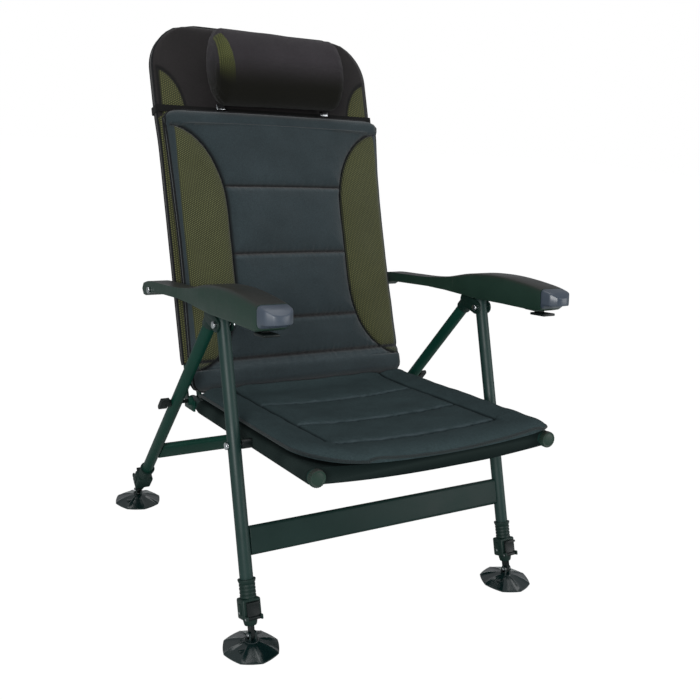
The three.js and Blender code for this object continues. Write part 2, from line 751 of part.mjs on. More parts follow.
// A cushion over a rectangle: heights are given for the top and the underside
function cushion(xs, ys, topHeight, underHeight, sideDraw) {
  const corners = [];
  const faces = [];
  const columns = xs.length;
  const rows = ys.length;
  const drawn = (i, j) => {
    const u = i / (columns - 1) * 2 - 1;
    const v = j / (rows - 1) * 2 - 1;
    return [xs[i] * (1 - sideDraw * (1 - v * v) * Math.abs(u)), ys[j]];
  };
  for (const height of [topHeight, underHeight]) {
    for (let j = 0; j < rows; j += 1) {
      for (let i = 0; i < columns; i += 1) {
        const [x, y] = drawn(i, j);
        corners.push(x, y, height(xs[i], ys[j]));
      }
    }
  }
  const under = columns * rows;
  const quad = (a, b, c, d) => faces.push(a, b, c, a, c, d);
  for (let j = 0; j < rows - 1; j += 1) {
    for (let i = 0; i < columns - 1; i += 1) {
      const a = j * columns + i;
      quad(a, a + 1, a + 1 + columns, a + columns);
      quad(under + a + columns, under + a + columns + 1, under + a + 1, under + a);
    }
  }
  for (let i = 0; i < columns - 1; i += 1) {
    const far = (rows - 1) * columns + i;
    quad(i + 1, i, under + i, under + i + 1);
    quad(far, far + 1, under + far + 1, under + far);
  }
  for (let j = 0; j < rows - 1; j += 1) {
    const near = j * columns;
    const right = near + columns - 1;
    quad(near, near + columns, under + near + columns, under + near);
    quad(right + columns, right, under + right, under + right + columns);
  }
  const geometry = new THREE.BufferGeometry();
  geometry.setAttribute('position', new THREE.Float32BufferAttribute(corners, 3));
  geometry.setIndex(faces);
  return facingOut(geometry);
}

// Grid lines from one end to the other that also fall on and beside each seam
function gridLines(from, to, seams, seamWidth, spacing) {
  const lines = [from, to];
  for (const seam of seams) lines.push(seam - seamWidth / 2, seam, seam + seamWidth / 2);
  lines.sort((a, b) => a - b);
  const filled = [];
  for (let i = 0; i < lines.length - 1; i += 1) {
    const count = Math.max(1, Math.round((lines[i + 1] - lines[i]) / spacing));
    for (let k = 0; k < count; k += 1) filled.push(lines[i] + (lines[i + 1] - lines[i]) * k / count);
  }
  filled.push(lines.at(-1));
  return filled;
}

// Height left over a stretch between two sewn lines: nothing on them, all midway
function swell(value, edges) {
  for (let i = 0; i < edges.length - 1; i += 1) {
    if (value >= edges[i] && value <= edges[i + 1]) {
      const share = (value - edges[i]) / (edges[i + 1] - edges[i]);
      return Math.sqrt(Math.max(0, Math.sin(share * Math.PI)));
    }
  }
  return 0;
}

function seatPad() {
  const half = padWidth / 2;
  const borderX = half - padBorder;
  const borderFront = padFront + padBorder;
  const seamYs = padSeamShares.map((share) => borderFront + (padRear - borderFront) * share);
  const xs = gridLines(-half, half, [-borderX, borderX], padSeamWidth, padBorder);
  const ys = gridLines(padFront, padRear, [borderFront, ...seamYs], padSeamWidth, padBorder);
  const xEdges = [-half, -borderX, borderX, half];
  const yEdges = [padFront, borderFront, ...seamYs, padRear];
  const floor = (x) => sleeveDiameter / 2 + padLift
    - slingDip * Math.max(0, 1 - (x / railX) ** 2);
  const top = (x, y) => {
    const inField = Math.abs(x) <= borderX && y >= borderFront;
    const across = inField ? swell(x, xEdges) : swell(Math.abs(x), [borderX, half]);
    const along = swell(y, yEdges);
    const puff = inField ? across * along : Math.max(across, swell(y, [padFront, borderFront]));
    return floor(x) + padEdgeThickness + padCrown * puff;
  };
  return cushion(xs, ys, top, floor, padDrawShare);
}

// Backrest group: origin at the back pivot, +Z up along the back tubes
function backrest() {
  const group = new THREE.Group();
  group.add(piece('back_frame', backFrame(), 'rearTube'));
  group.add(piece('back_lower_bar', backLowerBar(), 'rearTube'));
  group.add(piece('back_panel', backPanel(), 'panelFabric'));
  group.add(piece('back_pad', backPad(), 'padFabric'));
  group.add(piece('head_pillow', headPillow(), 'pillowFabric'));
  group.add(piece('pillow_band', pillowBand(), 'pillowFabric'));
  group.add(...bothSides((side, sign) => [
    piece(`back_bolt_${side}`, backBolt(sign), 'steel'),
    piece(`arm_bolt_${side}`, armBolt(sign), 'steel'),
  ]));
  placeAtBackPivot(group);
  return group;
}

function placeAtBackPivot(group) {
  const pivot = backPivotPlace();
  group.position.set(0, pivot.y, pivot.z);
  group.rotation.x = -backTilt;
}

function backPivotPlace() {
  const y = railRear + backPivotFromRailEnd;
  const z = backPivotAboveRail;
  return {
    y: seatPivot.y + y * Math.cos(railSlope) + z * Math.sin(railSlope),
    z: seatPivot.z - y * Math.sin(railSlope) + z * Math.cos(railSlope),
  };
}

// Path of the back tube: up one side, over and down the other
function backPath(bottom) {
  const bend = backFrameCorner;
  const corner = (sign, from, to) => {
    const points = [];
    for (let i = 0; i <= backFrameBendSteps; i += 1) {
      const angle = from + (to - from) * i / backFrameBendSteps;
      const x = sign * (railX - bend) + bend * Math.cos(angle);
      points.push(at(x, 0, backFrameTop - bend + bend * Math.sin(angle)));
    }
    return points;
  };
  return [
    at(railX, 0, bottom),
    ...corner(1, 0, Math.PI / 2),
    ...corner(-1, Math.PI / 2, Math.PI),
    at(-railX, 0, bottom),
  ];
}

// A round bar through a list of points, with the section square to the path
function bentBar(points, radius, count) {
  const corners = [];
  const faces = [];
  const last = points.length - 1;
  points.forEach((point, index) => {
    const before = points[Math.max(0, index - 1)];
    const after = points[Math.min(last, index + 1)];
    const inWay = point.clone().sub(before).normalize();
    const outWay = after.clone().sub(point).normalize();
    const way = inWay.clone().add(outWay).normalize();
    const across = new THREE.Vector3().crossVectors(at(0, 1, 0), way).normalize();
    const stretch = index === 0 || index === last ? 1 : 1 / Math.max(miterFloor, way.dot(outWay));
    for (let k = 0; k < count; k += 1) {
      const angle = k / count * Math.PI * 2;
      const corner = point.clone()
        .addScaledVector(across, radius * stretch * Math.cos(angle))
        .addScaledVector(at(0, 1, 0), radius * Math.sin(angle));
      corners.push(corner.x, corner.y, corner.z);
    }
  });
  for (let index = 0; index < last; index += 1) {
    for (let k = 0; k < count; k += 1) {
      const a = index * count + k;
      const b = index * count + (k + 1) % count;
      faces.push(a, b, b + count, a, b + count, a + count);
    }
  }
  for (let k = 1; k < count - 1; k += 1) {
    faces.push(0, k + 1, k);
    faces.push(last * count, last * count + k, last * count + k + 1);
  }
  const geometry = new THREE.BufferGeometry();
  geometry.setAttribute('position', new THREE.Float32BufferAttribute(corners, 3));
  geometry.setIndex(faces);
  return facingOut(geometry);
}

function backFrame() {
  const bar = bentBar(backPath(-tubeRadius), tubeRadius, tubeSides);
  const holes = Object.values(sides).flatMap((sign) => [0, armPivotUp].map((up) => (
    crossRod(boltHole, sign * railX - cutOverrun, sign * railX + cutOverrun, 0, up))));
  return cut(bar, ...holes);
}

function backLowerBar() {
  const reach = railX - tubeRadius - seatGap;
  return pipe(backBarDiameter / 2, backBarDiameter / 2 - tubeWall,
    at(-reach, 0, backBarUp), at(reach, 0, backBarUp));
}

function backPanel() {
  const half = panelWidth / 2;
  const outline = new THREE.Shape();
  outline.moveTo(-half, panelBottom);
  outline.lineTo(half, panelBottom);
  outline.absarc(half - panelCorner, panelTop - panelCorner, panelCorner, 0, Math.PI / 2);
  outline.absarc(panelCorner - half, panelTop - panelCorner, panelCorner, Math.PI / 2, Math.PI);
  outline.closePath();
  const slab = frontPlate(outline, -panelThickness / 2, panelThickness / 2, panelEdgeRound);
  const tunnel = bentBar(backPath(panelBottom - cutOverrun), tubeHole, tubeSides);
  const windows = Object.values(sides).map((sign) => (
    crossRod(armPivotWindow, sign * (railX - cutOverrun), sign * (half + cutOverrun), 0, armPivotUp)));
  return cut(slab, tunnel, ...windows);
}

// Front pad of the backrest, drawn flat as a cushion and then stood up
function backPad() {
  const half = backPadWidth / 2;
  const borderX = half - backPadBorder;
  const xs = gridLines(-half, half, [-borderX, borderX], backPadSeamWidth, backPadBorder);
  const seams = [...backPadSeams].reverse();
  const ys = gridLines(backPadBottom, backPadTop, seams, backPadSeamWidth, backPadBorder);
  const xEdges = [-half, -borderX, borderX, half];
  const yEdges = [backPadBottom, ...seams, backPadTop];
  const rollTop = seams[0];
  const top = (x, y) => {
    const inField = Math.abs(x) <= borderX;
    const across = inField ? swell(x, xEdges) : swell(Math.abs(x), [borderX, half]);
    const along = swell(y, yEdges);
    const bulge = y < rollTop ? lumbarRoll * along : 0;
    return backPadEdge + backPadCrown * Math.sqrt(across * along) + bulge * across;
  };
  const pad = cushion(xs, ys, top, () => 0, padDrawShare);
  pad.rotateX(Math.PI / 2);
  return facingOut(pad.translate(0, -backPadStandoff, 0));
}

// Bolster: an oval section along X whose ends are rounded and drawn in
function headPillow() {
  const half = pillowWidth / 2;
  const rise = (pillowTop - pillowBottom) / 2;
  const middle = (pillowTop + pillowBottom) / 2;
  const depth = pillowDepth / 2;
  const count = pillowSides;
  const ends = pillowEndShares;
  const stations = [
    ...ends.map(([share, size]) => [-half + pillowEndRound * share, size]),
    ...[...ends].reverse().map(([share, size]) => [half - pillowEndRound * share, size]),
  ];
  const corners = [];
  const faces = [];
  const inner = stations.slice(1, -1);
  for (const [x, size] of inner) {
    for (let k = 0; k < count; k += 1) {
      const angle = k / count * Math.PI * 2;
      const out = -pillowStandoff - depth + depth * size * Math.cos(angle);
      corners.push(x, out, middle + rise * size * Math.sin(angle));
    }
  }
  const first = corners.length / 3;
  corners.push(-half, -pillowStandoff - depth, middle, half, -pillowStandoff - depth, middle);
  for (let s = 0; s < inner.length - 1; s += 1) {
    for (let k = 0; k < count; k += 1) {
      const a = s * count + k;
      const b = s * count + (k + 1) % count;
      faces.push(a, b, b + count, a, b + count, a + count);
    }
  }
  for (let k = 0; k < count; k += 1) {
    const next = (k + 1) % count;
    const end = (inner.length - 1) * count;
    faces.push(first, next, k);
    faces.push(first + 1, end + k, end + next);
  }
  const geometry = new THREE.BufferGeometry();
  geometry.setAttribute('position', new THREE.Float32BufferAttribute(corners, 3));
  geometry.setIndex(faces);
  return facingOut(geometry);
}

// Elastic band round the back panel that carries the pillow
function pillowBand() {
  const halfX = panelWidth / 2 + bandGap;
  const halfY = panelThickness / 2 + bandGap;
  const outer = roundedOutline(-halfX - bandThickness, halfX + bandThickness,
    -halfY - bandThickness, halfY + bandThickness, panelEdgeRound);
  const inner = roundedOutline(-halfX, halfX, -halfY, halfY, panelEdgeRound - bandThickness);
  const ring = levelPlate(outer, bandBottom, bandBottom + bandHeight);
  return cut(ring, levelPlate(inner, bandBottom - cutOverrun, bandBottom + bandHeight + cutOverrun));
}

function backBolt(sign) {
  const inner = railX - tubeRadius - seatGap * 2 - hingePlateThickness;
  const outer = railX + tubeRadius + seatGap * 2 + hingePlateThickness;
  return crossBolt(sign, inner, outer, 0, 0);
}

function armBolt(sign) {
  const inner = railX - tubeRadius - seatGap;
  const outer = armSpacing / 2 + armRearWidth / 2 + seatGap;
  return crossBolt(sign, inner, outer, 0, armPivotUp);
}

// Armrest group: origin at the front tip's underside line, +Y along the arm
function armrests() {
  const group = new THREE.Group();
  group.position.set(0, -armTipForward, armTipHeight);
  group.rotation.x = -armDrop;
  group.add(...bothSides((side, sign) => [
    piece(`armrest_${side}`, armrest(sign), 'armPlastic'),
    piece(`armrest_tip_cap_${side}`, armTipCap(sign), 'capPlastic'),
    piece(`recline_trigger_${side}`, reclineTrigger(sign), 'blackPlastic'),
  ]));
  return group;
}

function armLength() {
  return armPivotInArm().along + armPastPivot;
}

function armOutline() {
  const outline = new THREE.Shape();
  const length = armLength();
  const scaled = (pairs) => pairs.map(([along, up]) => new THREE.Vector2(along * length, up * armHeight));
  const [start, ...top] = scaled(armTopShares);
  outline.moveTo(start.x, start.y);
  for (const point of [...top, ...scaled(armUndersideShares)]) outline.lineTo(point.x, point.y);
  outline.closePath();
  return outline;
}

function armPlan(x, inset) {
  const half = armWidth / 2 - inset;
  const rearHalf = armRearWidth / 2 - inset;
  const length = armLength();
  const neckFront = length * armNeckShares[0];
  const neckRear = length * armNeckShares[1];
  const outline = new THREE.Shape();
  outline.absarc(x, half + inset, half, Math.PI, Math.PI * 2);
  outline.lineTo(x + half, neckFront);
  outline.lineTo(x + rearHalf, neckRear);
  outline.lineTo(x + rearHalf, length + inset);
  outline.lineTo(x - rearHalf, length + inset);
  outline.lineTo(x - rearHalf, neckRear);
  outline.lineTo(x - half, neckFront);
  outline.closePath();
  return outline;
}

// The arm's whole outer form: side outline kept within the plan outline
function armForm(x) {
  const side = solidOf(sidePlate(armOutline(), x - armWidth / 2, x + armWidth / 2, armEdgeRound));
  const plan = solidOf(levelPlate(armPlan(x, 0), -armHeight, armHeight));
  return side.intersect(plan);
}

function armCapSplit(x) {
  return box(x - armWidth, x + armWidth, -cutOverrun, armCapLength, -armHeight, armHeight);
}

function armTipCap(sign) {
  const x = sign * armSpacing / 2;
  return geometryOf(armForm(x).intersect(solidOf(armCapSplit(x))));
}

// The space inside the arm, open underneath, that the leg tops move in
function armCavity(x) {
  const floor = sidePlate(cavityOutline(), x - armWidth / 2, x + armWidth / 2);
  return solidOf(floor).intersect(solidOf(levelPlate(armPlan(x, armWall), -armHeight * 2, armHeight)));
}

// Height of the arm's top above its base line, at a distance from the tip
function armTopAt(along) {
  const share = along / armLength();
  const next = armTopShares.findIndex(([at]) => at > share);
  const [startShare, startUp] = armTopShares[next - 1];
  const [endShare, endUp] = armTopShares[next];
  const between = (share - startShare) / (endShare - startShare);
  return (startUp + (endUp - startUp) * between) * armHeight;
}

function cavityOutline() {
  const outline = new THREE.Shape();
  const length = armLength();
  const inside = armTopShares
    .map(([along, up]) => [along * length, up * armHeight - armWall])
    .filter(([along]) => along > armCavityFront && along < armCavityRear);
  outline.moveTo(armCavityFront, -armHeight);
  outline.lineTo(armCavityFront, armTopAt(armCavityFront) - armWall);
  for (const [along, up] of inside) outline.lineTo(along, up);
  outline.lineTo(armCavityRear, cavityRearShare * armHeight);
  outline.lineTo(armCavityRear, -armHeight);
  outline.closePath();
  return outline;
}

// Notched rack rib that hangs from the arm's roof beside the leg top
function rackRib(x) {
  const pin = rackPinInArm();
  const low = pin.up + boltRadius + armRackClearance;
  const outline = new THREE.Shape();
  outline.moveTo(armRackFront, armHeight);
  outline.lineTo(armRackFront, low);
  const count = Math.floor((armRackRear - armRackFront) / rackToothPitch);
  for (let i = 0; i < count; i += 1) {
    const along = armRackFront + i * rackToothPitch;
    outline.lineTo(along + rackToothPitch / 2, low + rackToothDepth);
    outline.lineTo(along + rackToothPitch, low);
  }
  outline.lineTo(armRackRear, low);
  outline.lineTo(armRackRear, armHeight);
  outline.closePath();
  return sidePlate(outline, x - armRackThickness / 2, x + armRackThickness / 2);
}

function rackPinInArm() {
  const pin = pointAlongFrontLeg(rackPinAlong);
  const y = pin.y + armTipForward;
  const z = pin.z - armTipHeight;
  return {
    along: y * Math.cos(armDrop) - z * Math.sin(armDrop),
    up: y * Math.sin(armDrop) + z * Math.cos(armDrop),
  };
}

function armPivotInArm() {
  const pivot = backPivotPlace();
  const y = pivot.y + armPivotUp * Math.sin(backTilt) + armTipForward;
  const z = pivot.z + armPivotUp * Math.cos(backTilt) - armTipHeight;
  return {
    along: y * Math.cos(armDrop) - z * Math.sin(armDrop),
    up: y * Math.sin(armDrop) + z * Math.cos(armDrop),
  };
}

function armrest(sign) {
  const x = sign * armSpacing / 2;
  const legAt = sign * legX;
  const pivot = armPivotInArm();
  const outer = armForm(x).subtract(solidOf(armCapSplit(x).translate(0, seatGap, 0)));
  const ribs = [-armRackOffset, armRackOffset].map((offset) => (
    solidOf(rackRib(legAt + offset + Math.sign(offset) * armRackThickness / 2))));
  const shell = outer.subtract(armCavity(x));
  const withRibs = ribs.reduce((sum, rib) => sum.add(rib.intersect(armForm(x))), shell);
  const hole = crossRod(boltHole, x - armWidth, x + armWidth, pivot.along, pivot.up);
  return geometryOf(withRibs.subtract(solidOf(hole)).subtract(solidOf(triggerSlot(x))));
}

// Release trigger: a finger plate under the front of the arm on a stem
function reclineTrigger(sign) {
  const x = sign * armSpacing / 2;
  const roof = triggerPlateTop();
  const plate = box(x - triggerWidth / 2, x + triggerWidth / 2, triggerFront, triggerFront + triggerLength,
    roof - triggerThickness, roof);
  const stem = box(x - triggerStemWidth / 2, x + triggerStemWidth / 2,
    triggerFront + triggerStemSetBack, triggerFront + triggerStemSetBack + triggerStemWidth,
    roof - triggerThickness / 2, roof + triggerStemHeight);
  return joined(plate, stem);
}

function triggerPlateTop() {
  return armUndersideShares.at(-3)[1] * armHeight - triggerDrop - triggerThickness;
}

function triggerSlot(x) {
  const half = triggerStemWidth / 2 + boltGap;
  const from = triggerFront + triggerStemSetBack - boltGap;
  return box(x - half, x + half, from, from + triggerStemWidth + boltGap * 2, -armHeight,
    triggerPlateTop() + triggerStemHeight + triggerThickness + triggerTravelRoom);
}

// The whole chair, moved so that the origin is on the ground under its middle
function fishingChair() {
  const chair = new THREE.Group();
  chair.add(frontLegPair(), rearLegPair(), feet(), seatFrame(), backrest(), armrests());
  chair.updateMatrixWorld(true);
  const bounds = new THREE.Box3().setFromObject(chair, true);
  chair.position.y = -(bounds.min.y + bounds.max.y) / 2;
  chair.updateMatrixWorld(true);
  return chair;
}

export default fishingChair();
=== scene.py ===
import json
import math

import bmesh
import bpy
from mathutils import Matrix, Vector, noise


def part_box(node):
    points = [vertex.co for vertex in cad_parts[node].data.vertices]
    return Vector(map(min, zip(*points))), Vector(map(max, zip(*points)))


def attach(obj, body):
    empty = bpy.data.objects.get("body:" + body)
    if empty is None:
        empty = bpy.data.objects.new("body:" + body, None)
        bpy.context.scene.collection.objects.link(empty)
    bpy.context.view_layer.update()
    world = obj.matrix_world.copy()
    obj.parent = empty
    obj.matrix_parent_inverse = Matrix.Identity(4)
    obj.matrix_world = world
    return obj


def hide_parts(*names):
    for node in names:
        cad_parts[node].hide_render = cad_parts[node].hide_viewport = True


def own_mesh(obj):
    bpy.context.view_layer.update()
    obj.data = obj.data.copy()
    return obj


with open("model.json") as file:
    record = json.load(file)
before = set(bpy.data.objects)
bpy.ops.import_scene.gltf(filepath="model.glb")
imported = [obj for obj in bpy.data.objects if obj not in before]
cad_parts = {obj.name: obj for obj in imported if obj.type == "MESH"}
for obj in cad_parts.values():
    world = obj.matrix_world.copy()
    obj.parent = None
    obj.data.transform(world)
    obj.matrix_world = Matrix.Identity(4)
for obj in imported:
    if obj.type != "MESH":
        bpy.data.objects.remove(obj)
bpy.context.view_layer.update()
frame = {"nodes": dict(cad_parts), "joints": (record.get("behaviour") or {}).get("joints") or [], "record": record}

# Tubes and places of the frame, in metres and degrees
TUBE_RADIUS = 0.0125
REAR_BAR_RADIUS = 0.010
LOWER_BAR_RADIUS = 0.008
LEG_X = 0.300
RAIL_X = 0.252
FRONT_LEAN = -18.7
REAR_LEAN = 38.93
RAIL_LEAN = -5.23
BACK_LEAN = -20.4
SEAT_PIVOT_UP_LEG = 0.3757
LEG_TOP = 0.635
LEG_BOTTOM = 0.0783
REAR_LEG_TOP = 0.7531
REAR_LEG_BOTTOM = 0.0923
REAR_PIVOT_UP_LEG = 0.7576
REAR_LEG_BEHIND = 0.038
RAIL_FRONT = -0.220
RAIL_REAR = 0.338
REAR_BAR_AT = 0.320
LOWER_BAR_UP = 0.022
BAR_EDGE = 0.0012
REAR_BAR_GAP = 0.0036
ROUND_SIDES = 48

# Clamps: the box, and outlines of radius and height above the box's foot, its top and the clamp's top
CLAMP_BOX_FOOT = 0.060
CLAMP_BOX_TOP = 0.098
CLAMP_TOP = 0.132
CLAMP_BOX = (0.036, 0.030)
CLAMP_BOX_ROUND = 0.0035
CLAMP_RISE = {"front": 0.0, "rear": 0.014}
CLAMP_NECK = ((0, -0.012), (0.0106875, -0.012), (0.011875, -0.010), (0.0145, 0.003), (0, 0.003))
CLAMP_SEAT = ((0, -0.004), (0.0158, -0.004))
CLAMP_COLLAR = ((0.0152, -0.006), (0.0166, -0.002), (0.0166, 0), (0.0128, 0), (0, -0.001))
CLAMP_RIBS = 4
RIB_SHARE = 0.72
RIB_END = 0.007
RIB_FOOT = ((0.0141, 0), (0.0150, 0.0012))
RIB_HEAD = ((0.0150, 0), (0.0141, 0.001))
LEVER_EAR = (0.004, 0.012, 0.009)
LEVER_EAR_AT = (0.0143, 0.0185, 0.0045)
CHEEK = (0.003, 0.010, 0.020)
CHEEK_OUT = 0.0185
EAR_ROUND = 0.0012
LEVER_PIN = (0.0172, 0.019, 0.004)
LEVER_PIN_RADIUS = 0.0019
RIVET_ENDS = (0.0192, 0.0206)
RIVET_DOWN = 0.006
RIVET_RADIUS = 0.0022

# Mud feet: levels of radius, height and how far the round turns into an octagon
FOOT_RADIUS = 0.0538
FOOT_STEPS = 96
FOOT_PIN_UP = 0.028
FOOT_LEVELS = (
    (FOOT_RADIUS - 0.0012, 0.0, 0.55), (FOOT_RADIUS, 0.0010, 0.55), (FOOT_RADIUS, 0.0035, 0.6),
    (FOOT_RADIUS - 0.0030, 0.0045, 0.8), (FOOT_RADIUS * 0.72, 0.0102, 1.0), (FOOT_RADIUS * 0.42, 0.0150, 1.0),
    (0.0175, 0.0168, 0.5), (0.0135, 0.0175, 0.0), (0.0125, 0.0185, 0.0),
)
FOOT_RIDGES = 8
FOOT_RIDGE_RISE = 0.0016
FOOT_RIDGE_SHARPNESS = 9.0
FOOT_RIDGE_SPAN = (0.0040, 0.0160)
FOOT_EAR = (0.0038, 0.0078)
FOOT_EAR_RADIUS = 0.0070
FOOT_CHEEK = (0.0040, 0.0140, 0.0160)
FOOT_CHEEK_AT = (0.0058, 0, 0.020)
FOOT_STUD = (0.012, 0.008, 0.0022)
FOOT_STUD_AT = (-0.026, -0.016, 0.0128)
FOOT_STUD_ROUND = 0.0006
FOOT_PIN_HALF = 0.0092
FOOT_PIN_RADIUS = 0.0030
SMALL_ROUND = 0.0008

# Seat end caps: levels of height, share of the radius and whether the ridges show
END_CAP_RADIUS = 0.0157
END_CAP_RIDGES = 26
END_CAP_RIDGE = 0.0004
END_CAP_OFF = 0.0003
END_CAP_LEVELS = (
    (0.0, 0.90, 0), (0.0015, 1.0, 1), (0.0100, 1.0, 1), (0.0117, 0.94, 1), (0.0117, 0.80, 0),
    (0.0110, 0.74, 0), (0.0122, 0.40, 0),
)

# Armrests: length, height and the side outline's top, in shares of both
ARM_LEAN = -7.0
ARM_TIP = (0, -0.37251, 0.630)
ARM_LENGTH = 0.64502
ARM_HEIGHT = 0.056
ARM_STEP = 0.006
ARM_TOP = (
    (0.002, 0.18), (0.03, 0.37), (0.09, 0.53), (0.21, 0.70), (0.31, 0.74), (0.41, 0.68),
    (0.53, 0.46), (0.66, 0.32), (0.80, 0.30), (0.93, 0.29), (0.985, 0.17),
)

# Width of the worn edge on each small rigid node
EDGE_WIDTHS = {
    "front_cross_plate": 0.0012, "rear_cross_plate": 0.0012, "back_hinge_plate": 0.0005,
    "leg_top_bracket": 0.0005, "wing_knob": 0.0014, "leg_top_bolt": 0.0008, "seat_bolt": 0.0008,
    "back_bolt": 0.0008, "arm_bolt": 0.0008, "rack_pin": 0.0005, "leg_bush": 0.0004,
    "clamp_lever": 0.0010, "recline_trigger": 0.0014, "armrest_tip_cap": 0.0020, "armrest": 0.0,
    "inner_leg": 0.0, "back_frame": 0.0,
}

# Unevenness of cloth: height, waves per metre across and along, and a place in the noise
BACK_RIPPLE = (0.0022, 20, 26, 1.3)
BACK_PUCKER = (0.0016, 130, 25, 7.1)
SEAT_RIPPLE = (0.0024, 18, 24, 4.2)
SEAT_PUCKER = (0.0016, 110, 22, 2.6)
COVER_RIPPLE = {1: (0.0010, 14, 16, 10.0), -1: (0.0010, 14, 16, 8.0)}
SLING_WRINKLE = (0.0016, 9, 26, 3.0)
# Patchiness of the lighter lumbar band and of the painted seam highlights.
ROLL_BAND_NOISE = (0.45, 90, 300, 5.0)
BACK_LIP_HIGHLIGHT_NOISE = (0.4, 40, 10, 2.0)
SEAT_LIP_HIGHLIGHT_NOISE = (0.6, 45, 12, 6.0)
# Patchiness of the painted light on the sleeves.
SLEEVE_LIGHT_NOISE = (0.6, 60, 22, 8.0)
# Strength of the lighter lumbar band and of the painted highlights beside the seams.
ROLL_BAND_SHARE = 0.675
BACK_LIP_SHARE = 0.6
SEAT_LIP_SHARE = 0.55
# Strength of the painted light on the sleeves, and how far inside the rail's middle it begins, in sleeve radii.
SLEEVE_LIGHT_SHARE = 0.8
SLEEVE_LIT_FROM = 0.4
RIPPLE_REACH = 0.02
PUCKER_OUT = 0.006
PUCKER_WIDTH = 0.009

# Seat cushion and sling, in the seat's own plane
SEAT_HALF = 0.257
SEAT_FRONT = -0.227
SEAT_REAR = 0.298
SEAT_FRONT_ROUND = {-1: 0.105, 1: 0.016}
SEAT_REAR_ROUND = 0.020
SEAT_BOW = 0.004
SEAT_BORDER = 0.072
SEAT_SEAMS = (-0.154, -0.025, 0.133)
SEAT_SEAM = (0.0030, 0.0030)
SEAT_LIP_OUT = 0.0060
SEAT_LIP_WIDTH = 0.0030
SEAT_UNDER = 0.0163
SEAT_DIP = 0.014
SEAT_THICK = 0.017
SEAT_PUFF = 0.0080
SEAT_PUFF_REACH = 0.012
SEAT_RIM = 0.005
SEAT_UNDER_RISE = 0.006
SEAT_SIDES_ROUND = (0.001, 0.036)
SEAT_FRONT_EDGE = (0.005, 0.040)
SEAT_REAR_EDGE = (0.001, 0.013)
SEAT_REAR_LIFT_FROM = 0.225
SEAT_REAR_LIFT_REACH = 0.050
SEAT_REAR_LIFT = (0.003, 0.010)
SEAT_EDGE_STEPS = 90
UNDER_BACK_FROM = 0.274
UNDER_BACK_HEIGHT = 0.0325
UNDER_BACK_SLOPES = (0.283, 1.2)
SLING_FRONT = -0.214
SLING_REAR = 0.272
SLING_ROWS = 60
SLING_TURN = 10
SLING_STEPS = 22
SLING_BELLY = 0.026
SLING_OFF = 0.0008
SLEEVE_RADIUS = 0.0157

# Back cushion, in the back's own plane
BACK_HALF = 0.263
BACK_LOW = -0.033
BACK_HIGH = 0.576
BACK_STANDOFF = 0.0172
BACK_THICK = 0.024
BACK_RIM = 0.010
BACK_EDGE = (0.002, 0.020)
BACK_PUFF = 0.0155
BACK_PUFF_REACH = 0.020
MESH_PUFF_SHARE = 0.7
BACK_CROWN = 0.009
BACK_CORNER = 0.030
BACK_FOOT_IN = 0.004
BACK_FOOT_CORNER = 0.024
BACK_WAIST = (0.003, 0.27, 9.0)
BACK_FLARE = (0.005, 0.42, 0.15)
BACK_LIFT = (0.008, 0.44, 0.12)
BACK_SEAMS = (0.412, 0.261, 0.115)
BACK_SEAM = (0.0060, 0.0036)
BACK_LIP_DOWN = 0.0085
BACK_LIP_WIDTH = 0.0032
LUMBAR_SEAM = 0.030
LUMBAR = (0.012, 0.045)
ROLL_LIP_DOWN = 0.016
ROLL_LIP_WIDTH = 0.010
FIELD_HALF = 0.142
FIELD_SPREAD = 0.123
FIELD_UPPER = (0.36, 0.545)
FIELD_LOWER = (0.20, 0.010)
NO_FIELD = 1.0
NO_MESH = -0.02
SLOPE_STEP = 0.002
MESH_INSET = 0.011
SEAM_PAST_FIELD = 0.004
EDGE_STEPS = 78
PIPING_SUNK = 0.001

# Rear layer, head pillow and straps, in the back's own plane
COVER_HALF = 0.2705
COVER_TIGHT = 0.2670
COVER_LOW = 0.031
COVER_HIGH = 0.7815
COVER_CORNER = 0.100
COVER_DEPTH = 0.032
COVER_TIGHT_DEPTH = 0.0140
COVER_TAPER = (0.548, 0.016)
COVER_EDGE = 0.0015
COVER_ROUND = 0.016
COVER_FOOT_ROUND = 0.012
COVER_RIM = 0.002
COVER_MESH_FROM = 0.575
COVER_MESH = (0.066, 0.105)
COVER_MESH_REACH = 0.07
COVER_MESH_EDGE_FROM = 0.57
COVER_MESH_INSET = {True: 0.009, False: -0.001}
COVER_SEAM_FROM = 0.58
COVER_SEAM = (0.0016, 0.003)
COVER_PIPING_SHARE = 0.997
PIPING_RADIUS = 0.0028
COVER_PIPING_RADIUS = 0.0024
PILLOW_HALF = 0.157
PILLOW_LOW = 0.586
PILLOW_HIGH = 0.756
PILLOW_STANDOFF = 0.0165
PILLOW_DEPTH = 0.106
PILLOW_AROUND = 72
PILLOW_STEPS = 64
PILLOW_END_SIZE = 0.42
PILLOW_END_ROUND = (0.0004, 0.026)
PILLOW_END_INSET = 0.001
PILLOW_SLIM = 0.05
PILLOW_GATHER = (0.020, 17.0)
PILLOW_GATHER_AT = (0.010, 0.012)
PILLOW_WOBBLE = (0.014, 16, 2)
LENS_WIDTH = 0.035
LENS_AT = 205.0
LENS_REACH = 100.0
STRAP_UP = 0.5885
STRAP_WIDTH = 0.015
STRAP_THICK = 0.0014
STRAP_CORNER = 0.006
STRAP_OFF = (0.0035, 0.0022)
TAIL = (0.014, 0.0016, 0.050)
TAIL_ENDS = ((-0.030, 0.600), (0.006, 0.588))
TAIL_OFF = 0.014
TAIL_ROUND = 0.0005
BUCKLE = (0.020, 0.005, 0.012)
BUCKLE_AT = (-0.004, 0.592)
BUCKLE_X = 0.131
BUCKLE_ROUND = 0.0014

# Floor, and lamps with their place, size and power
FLOOR_HALF = 14.0
LAMP_TARGET = (0, 0, 0.5)
LAMPS = {
    "key": ((-2.8, -3.2, 1.7), 1.8, 128),
    "fill": ((2.6, -2.6, 1.2), 2.4, 45),
    "top": ((0.2, 0.2, 3.4), 2.2, 26),
}

